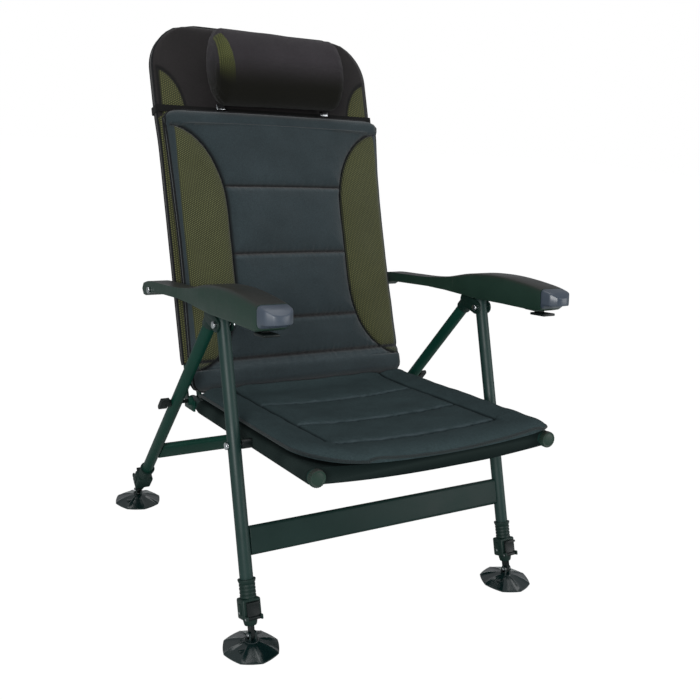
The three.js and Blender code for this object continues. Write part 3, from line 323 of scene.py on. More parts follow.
# Camera, worked out from the chair's own right angles in the photograph
CAMERA_AT = Vector((-0.9297, -1.60191, 0.97838))
CAMERA_YAW = 31.859
CAMERA_DOWN = 15.432
CAMERA_ROLL = 4.390
CAMERA_LENS = 46.07
CAMERA_SHIFT = (-0.0064, -0.0040)

record = frame["record"]
joints = {joint["name"]: joint for joint in frame["joints"]}
body_of_node = {
    node: body
    for body, nodes in record["behaviour"]["bodies"].items()
    for node in nodes
}
slot_of_node = {part["node"]: part["material_slot"] for part in record["subparts"]}
SIDES = {"left": -1, "right": 1}


def leaning(joint_name, degrees):
    """The place of a leaning group whose origin is a joint's axis in the middle plane."""
    _, y, z = joints[joint_name]["pos_m"]
    return Matrix.Translation((0, y, z)) @ Matrix.Rotation(math.radians(degrees), 4, "X")


front_place = leaning("legs_fold", FRONT_LEAN) @ Matrix.Translation((0, 0, -SEAT_PIVOT_UP_LEG))
rear_place = leaning("rear_legs_fold", REAR_LEAN) @ Matrix.Translation(
    (0, REAR_LEG_BEHIND, -REAR_PIVOT_UP_LEG)
)
seat_place = leaning("legs_fold", RAIL_LEAN)
back_place = leaning("back_fold", BACK_LEAN)
facing_front = Matrix.Rotation(math.radians(90), 4, "X")


# Shader node groups shared by the materials


def new_group(name, inputs, outputs):
    group = bpy.data.node_groups.new(name, "ShaderNodeTree")
    for label, kind in inputs.items():
        group.interface.new_socket(label, in_out="INPUT", socket_type=f"NodeSocket{kind}")
    for label, kind in outputs.items():
        group.interface.new_socket(label, in_out="OUTPUT", socket_type=f"NodeSocket{kind}")
    return group, group.nodes.new("NodeGroupInput").outputs, group.nodes.new("NodeGroupOutput")


def add_node(tree, kind, inputs=None, **settings):
    """A new node; each input takes a value or another node's output."""
    node = tree.nodes.new(kind)
    for key, value in settings.items():
        setattr(node, key, value)
    feed(tree, node, inputs or {})
    return node


def feed(tree, node, inputs):
    for key, value in inputs.items():
        if isinstance(value, bpy.types.NodeSocket):
            tree.links.new(value, node.inputs[key])
        else:
            node.inputs[key].default_value = value


def calculate(tree, operation, *values):
    return add_node(tree, "ShaderNodeMath", dict(enumerate(values)), operation=operation).outputs[0]


def blend_colours(tree, share, first, second):
    return add_node(tree, "ShaderNodeMix", {0: share, 6: first, 7: second}, data_type="RGBA").outputs[2]


def scale_colour(tree, colour, factor):
    inputs = {0: colour, "Scale": factor}
    return add_node(tree, "ShaderNodeVectorMath", inputs, operation="SCALE").outputs[0]


def spread(tree, value, low, high, to_low, to_high):
    inputs = {"Value": value, "From Min": low, "From Max": high, "To Min": to_low, "To Max": to_high}
    return add_node(tree, "ShaderNodeMapRange", inputs, clamp=True).outputs["Result"]


def across_and_along(tree, vector):
    split = add_node(tree, "ShaderNodeSeparateXYZ", {0: vector})
    return split.outputs["X"], split.outputs["Y"]


def make_mottle_group():
    """Slow patches and fine grain over any colour, with a grain height."""
    group, given, result = new_group(
        "mottle",
        {"Vector": "Vector", "Colour": "Color", "Patch Scale": "Float", "Grain Scale": "Float",
         "Patch Strength": "Float"},
        {"Colour": "Color", "Patch": "Float", "Grain": "Float"},
    )
    noises = []
    for scale, detail, roughness in (("Patch Scale", 4.0, 0.6), ("Grain Scale", 2.0, 0.5)):
        inputs = {"Vector": given["Vector"], "Scale": given[scale], "Detail": detail, "Roughness": roughness}
        noises.append(add_node(group, "ShaderNodeTexNoise", inputs).outputs["Fac"])
    patch, grain = noises
    centred = calculate(group, "SUBTRACT", patch, 0.5)
    swing = calculate(group, "MULTIPLY", centred, given["Patch Strength"])
    brightness = calculate(group, "ADD", calculate(group, "MULTIPLY", swing, 4.0), 1.0)
    tinted = scale_colour(group, given["Colour"], brightness)
    feed(group, result, {"Colour": tinted, "Patch": patch, "Grain": grain})
    return group


def make_weave_group():
    """Over-and-under threads, from a cloth place in metres."""
    group, given, result = new_group("weave", {"Vector": "Vector", "Threads": "Float"}, {"Height": "Float"})
    waves = []
    for distance in across_and_along(group, given["Vector"]):
        turned = calculate(group, "MULTIPLY", distance, given["Threads"])
        waves.append(calculate(group, "SINE", calculate(group, "MULTIPLY", turned, math.pi)))
    crossing = calculate(group, "MULTIPLY", *waves)
    feed(group, result, {"Height": calculate(group, "MULTIPLY_ADD", crossing, 0.5, 0.5)})
    return group


def make_net_group():
    """A spacer mesh: round eyes on a hexagonal lattice, from a cloth place in metres."""
    group, given, result = new_group("net", {"Vector": "Vector", "Pitch": "Float"}, {"Eye": "Float"})
    across, along = (
        calculate(group, "DIVIDE", distance, given["Pitch"])
        for distance in across_and_along(group, given["Vector"])
    )
    total = 0.0
    for degrees in (0, 60, 120):
        angle = math.radians(degrees)
        part_across = calculate(group, "MULTIPLY", across, math.cos(angle) * math.tau)
        part = calculate(group, "MULTIPLY_ADD", along, math.sin(angle) * math.tau, part_across)
        total = calculate(group, "ADD", total, calculate(group, "COSINE", part))
    feed(group, result, {"Eye": spread(group, total, -0.4, 1.6, 0.0, 1.0)})
    return group


mottle_group = make_mottle_group()
weave_group = make_weave_group()
net_group = make_net_group()


def use_group(tree, group, inputs):
    node = add_node(tree, "ShaderNodeGroup", node_tree=group)
    feed(tree, node, inputs)
    return node.outputs


def start_material(name, roughness, specular, **values):
    material = bpy.data.materials.new(name)
    material.use_nodes = True
    shader = material.node_tree.nodes["Principled BSDF"]
    values = {"Roughness": roughness, "Specular IOR Level": specular, **values}
    feed(material.node_tree, shader, {key.replace("_", " "): value for key, value in values.items()})
    return material, material.node_tree, shader


def add_bump(tree, shader, height, strength, distance):
    inputs = {"Height": height, "Strength": strength, "Distance": distance}
    feed(tree, shader, {"Normal": add_node(tree, "ShaderNodeBump", inputs).outputs["Normal"]})


def painted(tree, layer):
    """A value painted on the mesh."""
    return add_node(tree, "ShaderNodeAttribute", attribute_name=layer).outputs["Fac"]


def hard_material(name, colour, roughness, metallic=0.0, coat=0.0, grain=0.1, patch=0.1,
                  grain_scale=900.0, specular=0.5, painted_top_colour=None):
    """Paint, metal or moulded plastic: mottled colour, uneven gloss and a fine skin, and where a painted top
    colour is given, a painted two-tone by facing in place of light.
    """
    material, tree, shader = start_material(
        name, roughness, specular, Metallic=metallic, Coat_Weight=coat, Coat_Roughness=0.25
    )
    colour = (*colour, 1)
    if painted_top_colour:
        # Painted light: faces turned up blend to the painted top colour and the sides keep the base colour, a
        # two-tone by facing in place of the light and green reflections that fall on them.
        facing = add_node(tree, "ShaderNodeNewGeometry").outputs["Normal"]
        upright = add_node(tree, "ShaderNodeSeparateXYZ", {0: facing}).outputs["Z"]
        painted_top_share = spread(tree, upright, 0.10, 0.95, 0.0, 1.0)
        colour = blend_colours(tree, painted_top_share, colour, (*painted_top_colour, 1))
    mottle = use_group(tree, mottle_group, {
        "Vector": add_node(tree, "ShaderNodeTexCoord").outputs["Object"], "Colour": colour,
        "Patch Strength": patch, "Grain Scale": grain_scale, "Patch Scale": 12.0,
    })
    gloss = spread(tree, mottle["Patch"], 0.3, 0.7, max(roughness - 0.07, 0.02), roughness + 0.08)
    feed(tree, shader, {"Base Color": mottle["Colour"], "Roughness": gloss})
    add_bump(tree, shader, mottle["Grain"], grain, 0.0002)
    return material


def netted(tree, final, height, source, mottle, net_colour, net_dark, pitch):
    """Turns the cloth into an olive spacer mesh where the painted zone is above zero."""
    inside = spread(tree, painted(tree, "zone"), 0.0014, 0.0022, 0.0, 1.0)
    eye = use_group(tree, net_group, {"Vector": source, "Pitch": pitch})["Eye"]
    shade = spread(tree, mottle["Patch"], 0.35, 0.65, 0.0, 0.5)
    darker = (*[value * 0.62 for value in net_colour], 1)
    lively = blend_colours(tree, shade, (*net_colour, 1), darker)
    final = blend_colours(tree, inside, final, blend_colours(tree, eye, (*net_dark, 1), lively))
    height = add_node(tree, "ShaderNodeMix", {0: inside, 2: height, 3: eye}, data_type="FLOAT").outputs[0]
    return final, height


def cloth_material(name, colour, seam_colour=None, net_colour=None, net_dark=None, threads=700.0,
                   sheen=0.25, pitch=0.0038, painted_light_colour=None, specular=0.2, lip_highlight_colour=None, cord=False):
    """Woven cloth, tinted where its mesh has painted seams (the seam line with painted shade in its groove),
    painted highlights along seam edges, and tones that are painted light and shade.
    """
    material, tree, shader = start_material(name, 0.92, specular, Sheen_Weight=sheen, Sheen_Roughness=0.5)
    place = add_node(tree, "ShaderNodeTexCoord").outputs["Object"]
    source = place if cord else add_node(tree, "ShaderNodeUVMap", uv_map="cloth").outputs["UV"]
    mottle = use_group(tree, mottle_group, {
        "Vector": place, "Colour": (*colour, 1), "Patch Strength": 0.16, "Grain Scale": 420.0,
        "Patch Scale": 9.0,
    })
    height = use_group(tree, weave_group, {"Vector": source, "Threads": threads})["Height"]
    threaded = spread(tree, height, 0.0, 1.0, 0.82, 1.12)
    flecked = calculate(tree, "MULTIPLY", threaded, spread(tree, mottle["Grain"], 0.3, 0.7, 0.85, 1.15))
    final = scale_colour(tree, mottle["Colour"], flecked)
    if net_colour:
        final, height = netted(tree, final, height, source, mottle, net_colour, net_dark, pitch)
    # Painted light and shade: the sleeves' lighter outer halves and the pillow's darker underside take the painted
    # light colour.
    if painted_light_colour:
        final = blend_colours(tree, painted(tree, "tone"), final, (*painted_light_colour, 1))
    # Painted highlight: the edges beside the seams, and the band over the lumbar roll, blend towards the lip
    # highlight colour.
    if lip_highlight_colour:
        share = calculate(tree, "MULTIPLY", painted(tree, "lip"), 0.5)
        final = blend_colours(tree, share, final, (*lip_highlight_colour, 1))
    # The seams darken towards the seam colour: the stitched seam line and painted shade in its groove.
    if seam_colour:
        near = spread(tree, painted(tree, "seam"), 0.0014, 0.0052, 1.0, 0.0)
        final = blend_colours(tree, near, final, (*seam_colour, 1))
    feed(tree, shader, {"Base Color": final})
    add_bump(tree, shader, height, 0.55, 0.0006)
    return material


HARD_LOOKS = {
    "grey_green_paint": dict(colour=(0.010, 0.031, 0.027), roughness=0.44, patch=0.12, specular=0.32),
    "deep_green_paint": dict(colour=(0.003, 0.034, 0.023), roughness=0.42, patch=0.12, specular=0.20),
    "bright_steel": dict(colour=(0.62, 0.64, 0.66), roughness=0.22, metallic=1.0, grain=0.05, patch=0.06),
    "bracket_paint": dict(colour=(0.004, 0.018, 0.014), roughness=0.48, grain=0.25, patch=0.2, specular=0.3),
    "black_plastic": dict(
        colour=(0.004, 0.007, 0.007), roughness=0.42, grain=0.3, grain_scale=1500.0, specular=0.3,
    ),
    "foot_plastic": dict(colour=(0.003, 0.012, 0.012), roughness=0.16, coat=0.6, patch=0.2),
    # arm_plastic: the green of its sides is a painted green reflection, and facing up it turns to the painted
    # grey-brown top colour.
    "arm_plastic": dict(
        colour=(0.013, 0.034, 0.024), painted_top_colour=(0.020, 0.021, 0.018), roughness=0.42, grain=0.35,
        grain_scale=1200.0, specular=0.30,
    ),
    "plate_paint": dict(colour=(0.007, 0.021, 0.018), roughness=0.46, patch=0.14, specular=0.2),
    "cap_plastic": dict(colour=(0.044, 0.058, 0.080), roughness=0.36, coat=0.12, grain=0.08),
}
CLOTH_LOOKS = {
    # sleeve_fabric: its painted light colour lightens the outer half of each sleeve, in place of the lit side and
    # sheen.
    "sleeve_fabric": dict(
        colour=(0.0030, 0.0078, 0.0074), painted_light_colour=(0.0145, 0.0230, 0.0215), sheen=0.0, specular=0.1,
    ),
    # pad_fabric: its lip highlight colour is the painted highlight below the seams and on the lumbar band.
    "pad_fabric": dict(
        colour=(0.0235, 0.0345, 0.0390), seam_colour=(0.0035, 0.005, 0.006), sheen=0.16,
        net_colour=(0.120, 0.125, 0.050), net_dark=(0.026, 0.029, 0.013), lip_highlight_colour=(0.060, 0.080, 0.088),
    ),
    # seat_fabric: a lighter copy of the pad cloth, painted light making up for the weaker light on the seat's top;
    # its lip highlight colour is the painted highlight beside the seams.
    "seat_fabric": dict(
        colour=(0.0300, 0.0460, 0.0490), seam_colour=(0.008, 0.013, 0.014),
        lip_highlight_colour=(0.085, 0.110, 0.125), sheen=0.0, specular=0.08,
    ),
    "panel_fabric": dict(
        colour=(0.0150, 0.0130, 0.0134), seam_colour=(0.004, 0.004, 0.004), sheen=0.15,
        net_colour=(0.120, 0.124, 0.046), net_dark=(0.026, 0.028, 0.012), pitch=0.0044,
    ),
    # pillow_fabric: its painted light colour is painted shade on the pillow's underside.
    "pillow_fabric": dict(
        colour=(0.029, 0.0255, 0.0290), painted_light_colour=(0.0050, 0.0048, 0.0032), sheen=0.06, specular=0.12,
        net_colour=(0.110, 0.118, 0.040), net_dark=(0.036, 0.040, 0.015), pitch=0.0034,
    ),
    # piping: lighter than the dark piping on the backrest, a painted highlight along the seat's edge cord.
    "piping": dict(colour=(0.014, 0.021, 0.022), threads=500.0, sheen=0.1, cord=True),
    "dark_piping": dict(colour=(0.006, 0.007, 0.008), threads=500.0, sheen=0.1, cord=True),
    "webbing": dict(colour=(0.005, 0.005, 0.005), threads=420.0, sheen=0.05, cord=True),
}
finishes = {name: hard_material(name, **look) for name, look in HARD_LOOKS.items()}
finishes.update({name: cloth_material(name, **look) for name, look in CLOTH_LOOKS.items()})


# Mesh helpers


def add_object(name, data):
    made = bpy.data.objects.new(name, data)
    bpy.context.scene.collection.objects.link(made)
    return made


def object_from(name, bm, material):
    mesh = bpy.data.meshes.new(name)
    bm.to_mesh(mesh)
    bm.free()
    mesh.materials.append(material)
    return add_object(name, mesh)


def finish_piece(name, bm, place, body, slot, finish=None, stands_for=(), sharp=38.0):
    """A piece with its own finish, or its slot's, and with sharp edges above an angle in degrees."""
    bmesh.ops.transform(bm, matrix=place, verts=bm.verts)
    piece = object_from(name, bm, finishes[finish or slot])
    piece.data.shade_smooth()
    piece.data.set_sharp_from_angle(angle=math.radians(sharp))
    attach(piece, body)
    if stands_for:
        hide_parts(*stands_for)
    return piece


def of_kind(items, kind):
    return [item for item in items if isinstance(item, kind)]


def crisp_edges(bm, degrees=35.0, verts=None):
    chosen = set(verts) if verts is not None else None
    limit = math.radians(degrees)
    return [
        edge for edge in bm.edges
        if edge.is_manifold and edge.calc_face_angle() > limit
        and (chosen is None or (edge.verts[0] in chosen and edge.verts[1] in chosen))
    ]


def round_edges(bm, edges, width, segments=2):
    bmesh.ops.bevel(
        bm, geom=edges, offset=width, offset_type="OFFSET", segments=segments,
        profile=0.5, affect="EDGES", material=-1, clamp_overlap=True,
    )


def add_bar(bm, start, end, radius, sides=ROUND_SIDES):
    start, end = Vector(start), Vector(end)
    way = end - start
    place = Matrix.Translation((start + end) / 2) @ way.to_track_quat("Z", "Y").to_matrix().to_4x4()
    bmesh.ops.create_cone(
        bm, cap_ends=True, segments=sides, radius1=radius, radius2=radius, depth=way.length, matrix=place,
    )


def add_block(bm, size, middle, width, segments=2):
    """A box with rounded edges."""
    place = Matrix.Translation(middle) @ Matrix.Diagonal((*size, 1))
    made = bmesh.ops.create_cube(bm, size=1.0, matrix=place)
    round_edges(bm, crisp_edges(bm, 35.0, made["verts"]), width, segments)


def raised(outline, height):
    return [(radius, height + rise) for radius, rise in outline]


def add_turned(bm, outline):
    """Spins an outline of (radius, height) about a vertical axis; tagged vertices are left alone."""
    rim = [bm.verts.new((radius, 0, height)) for radius, height in outline]
    edges = [bm.edges.new(pair) for pair in zip(rim, rim[1:])]
    bmesh.ops.spin(
        bm, geom=rim + edges, cent=(0, 0, 0), axis=(0, 0, 1), dvec=(0, 0, 0), angle=math.tau,
        steps=ROUND_SIDES, use_merge=True, use_normal_flip=False, use_duplicate=False,
    )
    bmesh.ops.remove_doubles(bm, verts=[vert for vert in bm.verts if not vert.tag], dist=1e-6)
    fresh = [vert for vert in bm.verts if not vert.tag]
    faces = {face for vert in fresh for face in vert.link_faces}
    bmesh.ops.recalc_face_normals(bm, faces=list(faces))
    for vert in fresh:
        vert.tag = True


def pull_up(bm, sides, radius, levels, point_of):
    """Pulls a disc's rim up through levels; point_of gives reach and height at an angle and level."""
    ring = bmesh.ops.create_circle(bm, cap_ends=True, segments=sides, radius=radius)["verts"]
    bmesh.ops.reverse_faces(bm, faces=bm.faces[:])
    edges = bm.edges[:]
    for number, level in enumerate(levels):
        if number:
            pulled = bmesh.ops.extrude_edge_only(bm, edges=edges)["geom"]
            ring, edges = of_kind(pulled, bmesh.types.BMVert), of_kind(pulled, bmesh.types.BMEdge)
        for vert in ring:
            angle = math.atan2(vert.co.y, vert.co.x)
            reach, height = point_of(angle, level)
            vert.co = (reach * math.cos(angle), reach * math.sin(angle), height)
    bmesh.ops.contextual_create(bm, geom=edges)
    bmesh.ops.recalc_face_normals(bm, faces=bm.faces)


def tube_mesh(points, radius):
    """A closed loop of round tube, made with a bevelled curve."""
    curve = bpy.data.curves.new("run", "CURVE")
    curve.dimensions = "3D"
    curve.bevel_depth = radius
    curve.bevel_resolution = 2
    spline = curve.splines.new("POLY")
    spline.points.add(len(points) - 1)
    for point, place in zip(spline.points, points):
        point.co = (*place, 1)
    spline.use_cyclic_u = True
    holder = add_object("run", curve)
    bpy.context.view_layer.update()
    mesh = bpy.data.meshes.new_from_object(holder)
    bm = bmesh.new()
    bm.from_mesh(mesh)
    bpy.data.objects.remove(holder)
    bpy.data.curves.remove(curve)
    bpy.data.meshes.remove(mesh)
    return bm


def add_piping(name, points, radius, body, slot, finish):
    """A round cord sewn along a pad's edge."""
    piece = finish_piece(name, tube_mesh(points, radius), Matrix.Identity(4), body, slot, finish)
    return piece


def uneven(x, along, wave):
    """Slow or fine unevenness of cloth at a place on it."""
    height, across, lengthways, seed = wave
    return height * noise.noise(Vector((x * across, along * lengthways, seed)))


def between_0_and_1(value):
    return max(0.0, min(1.0, value))


def lay_cloth(bm, place_of):
    """Gives each face corner its place on the flat cloth, in metres."""
    cloth_layer = bm.loops.layers.uv.new("cloth")
    for face in bm.faces:
        for loop in face.loops:
            loop[cloth_layer].uv = place_of(face, loop.vert)


# Straight tubes that stand for the frame's plain ones


def make_round_bars():
    bars = []
    for side, sign in SIDES.items():
        leg, rail = sign * LEG_X, sign * RAIL_X
        bars += [
            (f"front_leg_{side}", front_place, (leg, 0, LEG_BOTTOM), (leg, 0, LEG_TOP), TUBE_RADIUS),
            (f"rear_leg_{side}", rear_place, (leg, 0, REAR_LEG_BOTTOM), (leg, 0, REAR_LEG_TOP), TUBE_RADIUS),
            (f"seat_rail_{side}", seat_place, (rail, RAIL_FRONT, 0), (rail, RAIL_REAR, 0), TUBE_RADIUS),
        ]
    inside = RAIL_X - TUBE_RADIUS
    bars += [
        ("seat_rear_bar", seat_place, (REAR_BAR_GAP - inside, REAR_BAR_AT, 0),
         (inside - REAR_BAR_GAP, REAR_BAR_AT, 0), REAR_BAR_RADIUS),
        ("back_lower_bar", back_place, (-inside, 0, LOWER_BAR_UP), (inside, 0, LOWER_BAR_UP),
         LOWER_BAR_RADIUS),
    ]
    for node, place, start, end, radius in bars:
        bm = bmesh.new()
        add_bar(bm, start, end, radius)
        round_edges(bm, crisp_edges(bm, 60.0), BAR_EDGE, 3)
        finish_piece(f"{node}_tube", bm, place, body_of_node[node], slot_of_node[node], None, [node])


# Small rigid nodes that keep their shape and get worn edges


def arm_top(share, eased):
    """Height of the arm's top at a share of its length, as straight runs or as one smooth curve."""
    index = max(i for i in range(len(ARM_TOP) - 1) if ARM_TOP[i][0] <= share or i == 0)
    (x0, y0), (x1, y1) = ARM_TOP[index], ARM_TOP[index + 1]
    t = (share - x0) / (x1 - x0)
    if not eased:
        return y0 + (y1 - y0) * t
    slopes = []
    for i in (index, index + 1):
        before, after = ARM_TOP[max(i - 1, 0)], ARM_TOP[min(i + 1, len(ARM_TOP) - 1)]
        slopes.append((after[1] - before[1]) / (after[0] - before[0]) * (x1 - x0))
    return (y0 * (1 + 2 * t) * (1 - t) ** 2 + slopes[0] * t * (1 - t) ** 2
            + y1 * t * t * (3 - 2 * t) + slopes[1] * t * t * (t - 1))


def ease_arm_top(bm):
    """Cuts the arm into short lengths and eases its top on to the smooth curve.

    The roof of the hollow only goes up, so the trigger keeps its room.
    """
    place = Matrix.Translation(ARM_TIP) @ Matrix.Rotation(math.radians(ARM_LEAN), 4, "X")
    bmesh.ops.transform(bm, matrix=place.inverted(), verts=bm.verts)
    along = min(vert.co.y for vert in bm.verts) + ARM_STEP / 2
    end = max(vert.co.y for vert in bm.verts)
    while along < end:
        bmesh.ops.bisect_plane(bm, geom=bm.verts[:] + bm.edges[:] + bm.faces[:], dist=1e-6,
                               plane_co=(0, along, 0), plane_no=(0, 1, 0))
        along += ARM_STEP
    bm.normal_update()
    for vert in bm.verts:
        share = vert.co.y / ARM_LENGTH
        if vert.co.z <= 0 or not ARM_TOP[0][0] < share < ARM_TOP[-1][0]:
            continue
        straight = arm_top(share, False) * ARM_HEIGHT
        lift = arm_top(share, True) * ARM_HEIGHT - straight
        if any(face.normal.z < -0.5 for face in vert.link_faces):
            lift = max(lift, 0.0)
        vert.co.z += lift * min(vert.co.z / straight, 1.0)
    bmesh.ops.transform(bm, matrix=place, verts=bm.verts)


def soften_nodes():
    for node, cad in frame["nodes"].items():
        match = [key for key in EDGE_WIDTHS if key in node]
        if not match:
            continue
        width = EDGE_WIDTHS[max(match, key=len)]
        bm = bmesh.new()
        bm.from_mesh(cad.data)
        bmesh.ops.remove_doubles(bm, verts=bm.verts, dist=2e-5)
        bmesh.ops.dissolve_limit(bm, angle_limit=math.radians(1.0), verts=bm.verts, edges=bm.edges)
        if width:
            round_edges(bm, crisp_edges(bm, 40.0), width)
        if "armrest" in node:
            ease_arm_top(bm)
        finish = "plate_paint" if node == "front_cross_plate" else None
        finish_piece(f"{node}_finished", bm, Matrix.Identity(4), body_of_node[node], slot_of_node[node],
                     finish, [node])


# Clamps, feet and end caps


def make_clamp(end, side, sign):
    out = -1 if end == "front" else 1
    leg_place = front_place if end == "front" else rear_place
    place = leg_place @ Matrix.Translation((sign * LEG_X, 0, CLAMP_RISE[end]))
    node = f"{end}_clamp_{side}"
    body = body_of_node[node]
    bm = bmesh.new()
    middle = (CLAMP_BOX_TOP + CLAMP_BOX_FOOT) / 2
    add_block(bm, (*CLAMP_BOX, CLAMP_BOX_TOP - CLAMP_BOX_FOOT), (0, 0, middle), CLAMP_BOX_ROUND, 4)
    for vert in bm.verts:
        vert.tag = True
    add_turned(bm, raised(CLAMP_NECK, CLAMP_BOX_FOOT))
    sleeve = raised(CLAMP_SEAT, CLAMP_BOX_TOP)
    rib_step = (CLAMP_TOP - RIB_END - CLAMP_BOX_TOP) / CLAMP_RIBS
    for rib in range(CLAMP_RIBS):
        sleeve += raised(RIB_FOOT, CLAMP_BOX_TOP + rib_step * rib)
        sleeve += raised(RIB_HEAD, CLAMP_BOX_TOP + rib_step * (rib + RIB_SHARE))
    add_turned(bm, sleeve + raised(CLAMP_COLLAR, CLAMP_TOP))
    pin = bmesh.new()
    ear_x, ear_y, ear_up = LEVER_EAR_AT
    for ear in (-1, 1):
        add_block(bm, LEVER_EAR, (ear * ear_x, out * ear_y, CLAMP_BOX_FOOT + ear_up), EAR_ROUND)
        add_block(bm, CHEEK, (ear * CHEEK_OUT, 0, middle), EAR_ROUND)
        add_bar(pin, *((ear * x, 0, middle - RIVET_DOWN) for x in RIVET_ENDS), RIVET_RADIUS)
    pin_half, pin_out, pin_up = LEVER_PIN
    pin_ends = ((x, out * pin_out, CLAMP_BOX_FOOT + pin_up) for x in (-pin_half, pin_half))
    add_bar(pin, *pin_ends, LEVER_PIN_RADIUS)
    finish_piece(f"{node}_moulding", bm, place, body, "bracket_paint", None, [node], 30.0)
    finish_piece(f"{node}_pin", pin, place, body, "bright_steel")


def foot_radius(angle, share):
    """A soft octagon: flats between the ridges, rounder towards the hub."""
    step = math.tau / FOOT_RIDGES
    offset = (angle % step) - step / 2
    polygon = math.cos(step / 2) / math.cos(offset)
    return 1.0 - share * (1.0 - polygon)


def foot_ridge(angle, height):
    """Rise of the ridges that run from the hub to the octagon's corners."""
    if not FOOT_RIDGE_SPAN[0] < height < FOOT_RIDGE_SPAN[1]:
        return 0.0
    step = math.tau / FOOT_RIDGES
    offset = (angle % step) / step
    return FOOT_RIDGE_RISE * math.exp(-((min(offset, 1.0 - offset) * FOOT_RIDGE_SHARPNESS) ** 2))


def foot_point(angle, level):
    radius, height, share = level
    return radius * foot_radius(angle, share), height + foot_ridge(angle, height)


def make_foot(end, side):
    node = f"{end}_foot_{side}"
    body = body_of_node[node]
    low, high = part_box(node)
    place = Matrix.Translation(((low[0] + high[0]) / 2, (low[1] + high[1]) / 2, 0))
    bm = bmesh.new()
    pull_up(bm, FOOT_STEPS, FOOT_LEVELS[0][0], FOOT_LEVELS, foot_point)
    cheek_x, cheek_y, cheek_up = FOOT_CHEEK_AT
    for ear in (-1, 1):
        add_bar(bm, *((ear * x, 0, FOOT_PIN_UP) for x in FOOT_EAR), FOOT_EAR_RADIUS, sides=32)
        add_block(bm, FOOT_CHEEK, (ear * cheek_x, cheek_y, cheek_up), SMALL_ROUND)
    add_block(bm, FOOT_STUD, FOOT_STUD_AT, FOOT_STUD_ROUND)
    finish_piece(f"{node}_disc", bm, place, body, "foot_plastic", None, [node], 24.0)
    pin = bmesh.new()
    add_bar(pin, *((x, 0, FOOT_PIN_UP) for x in (-FOOT_PIN_HALF, FOOT_PIN_HALF)), FOOT_PIN_RADIUS)
    round_edges(pin, crisp_edges(pin, 60.0), SMALL_ROUND)
    finish_piece(f"{node}_pin", pin, place, body, "bright_steel")


def cap_point(angle, level):
    height, size, ridged = level
    wave = END_CAP_RIDGE * ridged * math.cos(angle * END_CAP_RIDGES)
    return END_CAP_RADIUS * size - END_CAP_RIDGE + wave, height


def make_end_cap(side, sign):
    node = f"seat_end_cap_{side}"
    bm = bmesh.new()
    pull_up(bm, END_CAP_RIDGES * 4, END_CAP_RADIUS, END_CAP_LEVELS, cap_point)
    place = seat_place @ Matrix.Translation((sign * RAIL_X, RAIL_FRONT - END_CAP_OFF, 0)) @ facing_front
    # The end caps take arm_plastic, with its painted two-tone by facing.
    finish_piece(f"{node}_ridged", bm, place, "seat", "black_plastic", "arm_plastic", [node], 40.0)


# Padded pieces: two grids joined round the edge, shaped by plain functions


def quarter_round(distance, margin, reach):
    if distance + margin <= 0:
        return 0.0
    share = 1.0 - min((distance + margin) / reach, 1.0)
    return math.sqrt(1.0 - share * share)


def corner_width(half, corner, distance_to_end):
    """Half width left where a rounded corner narrows the outline."""
    if distance_to_end >= corner:
        return half
    inside = corner - distance_to_end
    return half - corner + math.sqrt(max(corner * corner - inside * inside, 0.0))


def crease(distance, width):
    return math.exp(-((distance / width) ** 2))


def ridge(distance, height, width):
    return height * crease(distance, width)


def puff(distance, reach):
    return 1.0 - math.exp(-distance / reach)


def quilting(x, along, seams, ripple, pucker):
    """Slow ripples of the cloth between the seams, and fine puckers beside them."""
    slow = uneven(x, along, ripple) * puff(seams, RIPPLE_REACH)
    return slow + uneven(x, along, pucker) * crease(seams - PUCKER_OUT, PUCKER_WIDTH)


def nowhere(x, along):
    return -1.0


# No painted highlight on the rear layer.
def no_highlight(x, along):
    return 0.0


def two_grids(columns, rows):
    bm = bmesh.new()
    bmesh.ops.create_grid(bm, x_segments=columns, y_segments=rows, size=1.0)
    copied = bmesh.ops.duplicate(bm, geom=bm.verts[:] + bm.edges[:] + bm.faces[:])["geom"]
    bmesh.ops.translate(bm, verts=of_kind(copied, bmesh.types.BMVert), vec=(0, 0, -1))
    bmesh.ops.reverse_faces(bm, faces=of_kind(copied, bmesh.types.BMFace))
    bmesh.ops.bridge_loops(bm, edges=[edge for edge in bm.edges if edge.is_boundary])
    return bm


def make_padded(name, grid, shape, place, body, slot, finish, stands_for):
    """A pad from its functions of outline, height, mesh zone, seams and painted edge highlights."""
    outline, height, *paints = shape
    bm = two_grids(*grid)
    layers = [bm.verts.layers.float.new(key) for key in ("zone", "seam", "lip")]
    flat = {}
    for vert in bm.verts:
        side = 1 if vert.co.z > -0.5 else -1
        x, along = outline(vert.co.x, vert.co.y)
        for layer, paint, underneath in zip(layers, paints, (-1.0, 1.0, 0.0)):
            vert[layer] = paint(x, along) if side > 0 else underneath
        flat[vert] = (x, along)
        vert.co = (x, along, height(x, along, side))
    lay_cloth(bm, lambda face, vert: flat[vert])
    bmesh.ops.recalc_face_normals(bm, faces=bm.faces)
    piece = finish_piece(name, bm, place, body, slot, finish, stands_for, 70.0)
    return piece


def outline_points(outline, steps):
    """Points round a pad's edge, from its own outline function."""
    corners = ((-1, -1), (1, -1), (1, 1), (-1, 1), (-1, -1))
    return [
        outline(*(first + (last - first) * step / steps for first, last in zip(start, end)))
        for start, end in zip(corners, corners[1:])
        for step in range(steps)
    ]


def flatten_when_folded(piece):
    """Gives the pad its own copy of its mesh."""
    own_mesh(piece)


# Front pad of the backrest


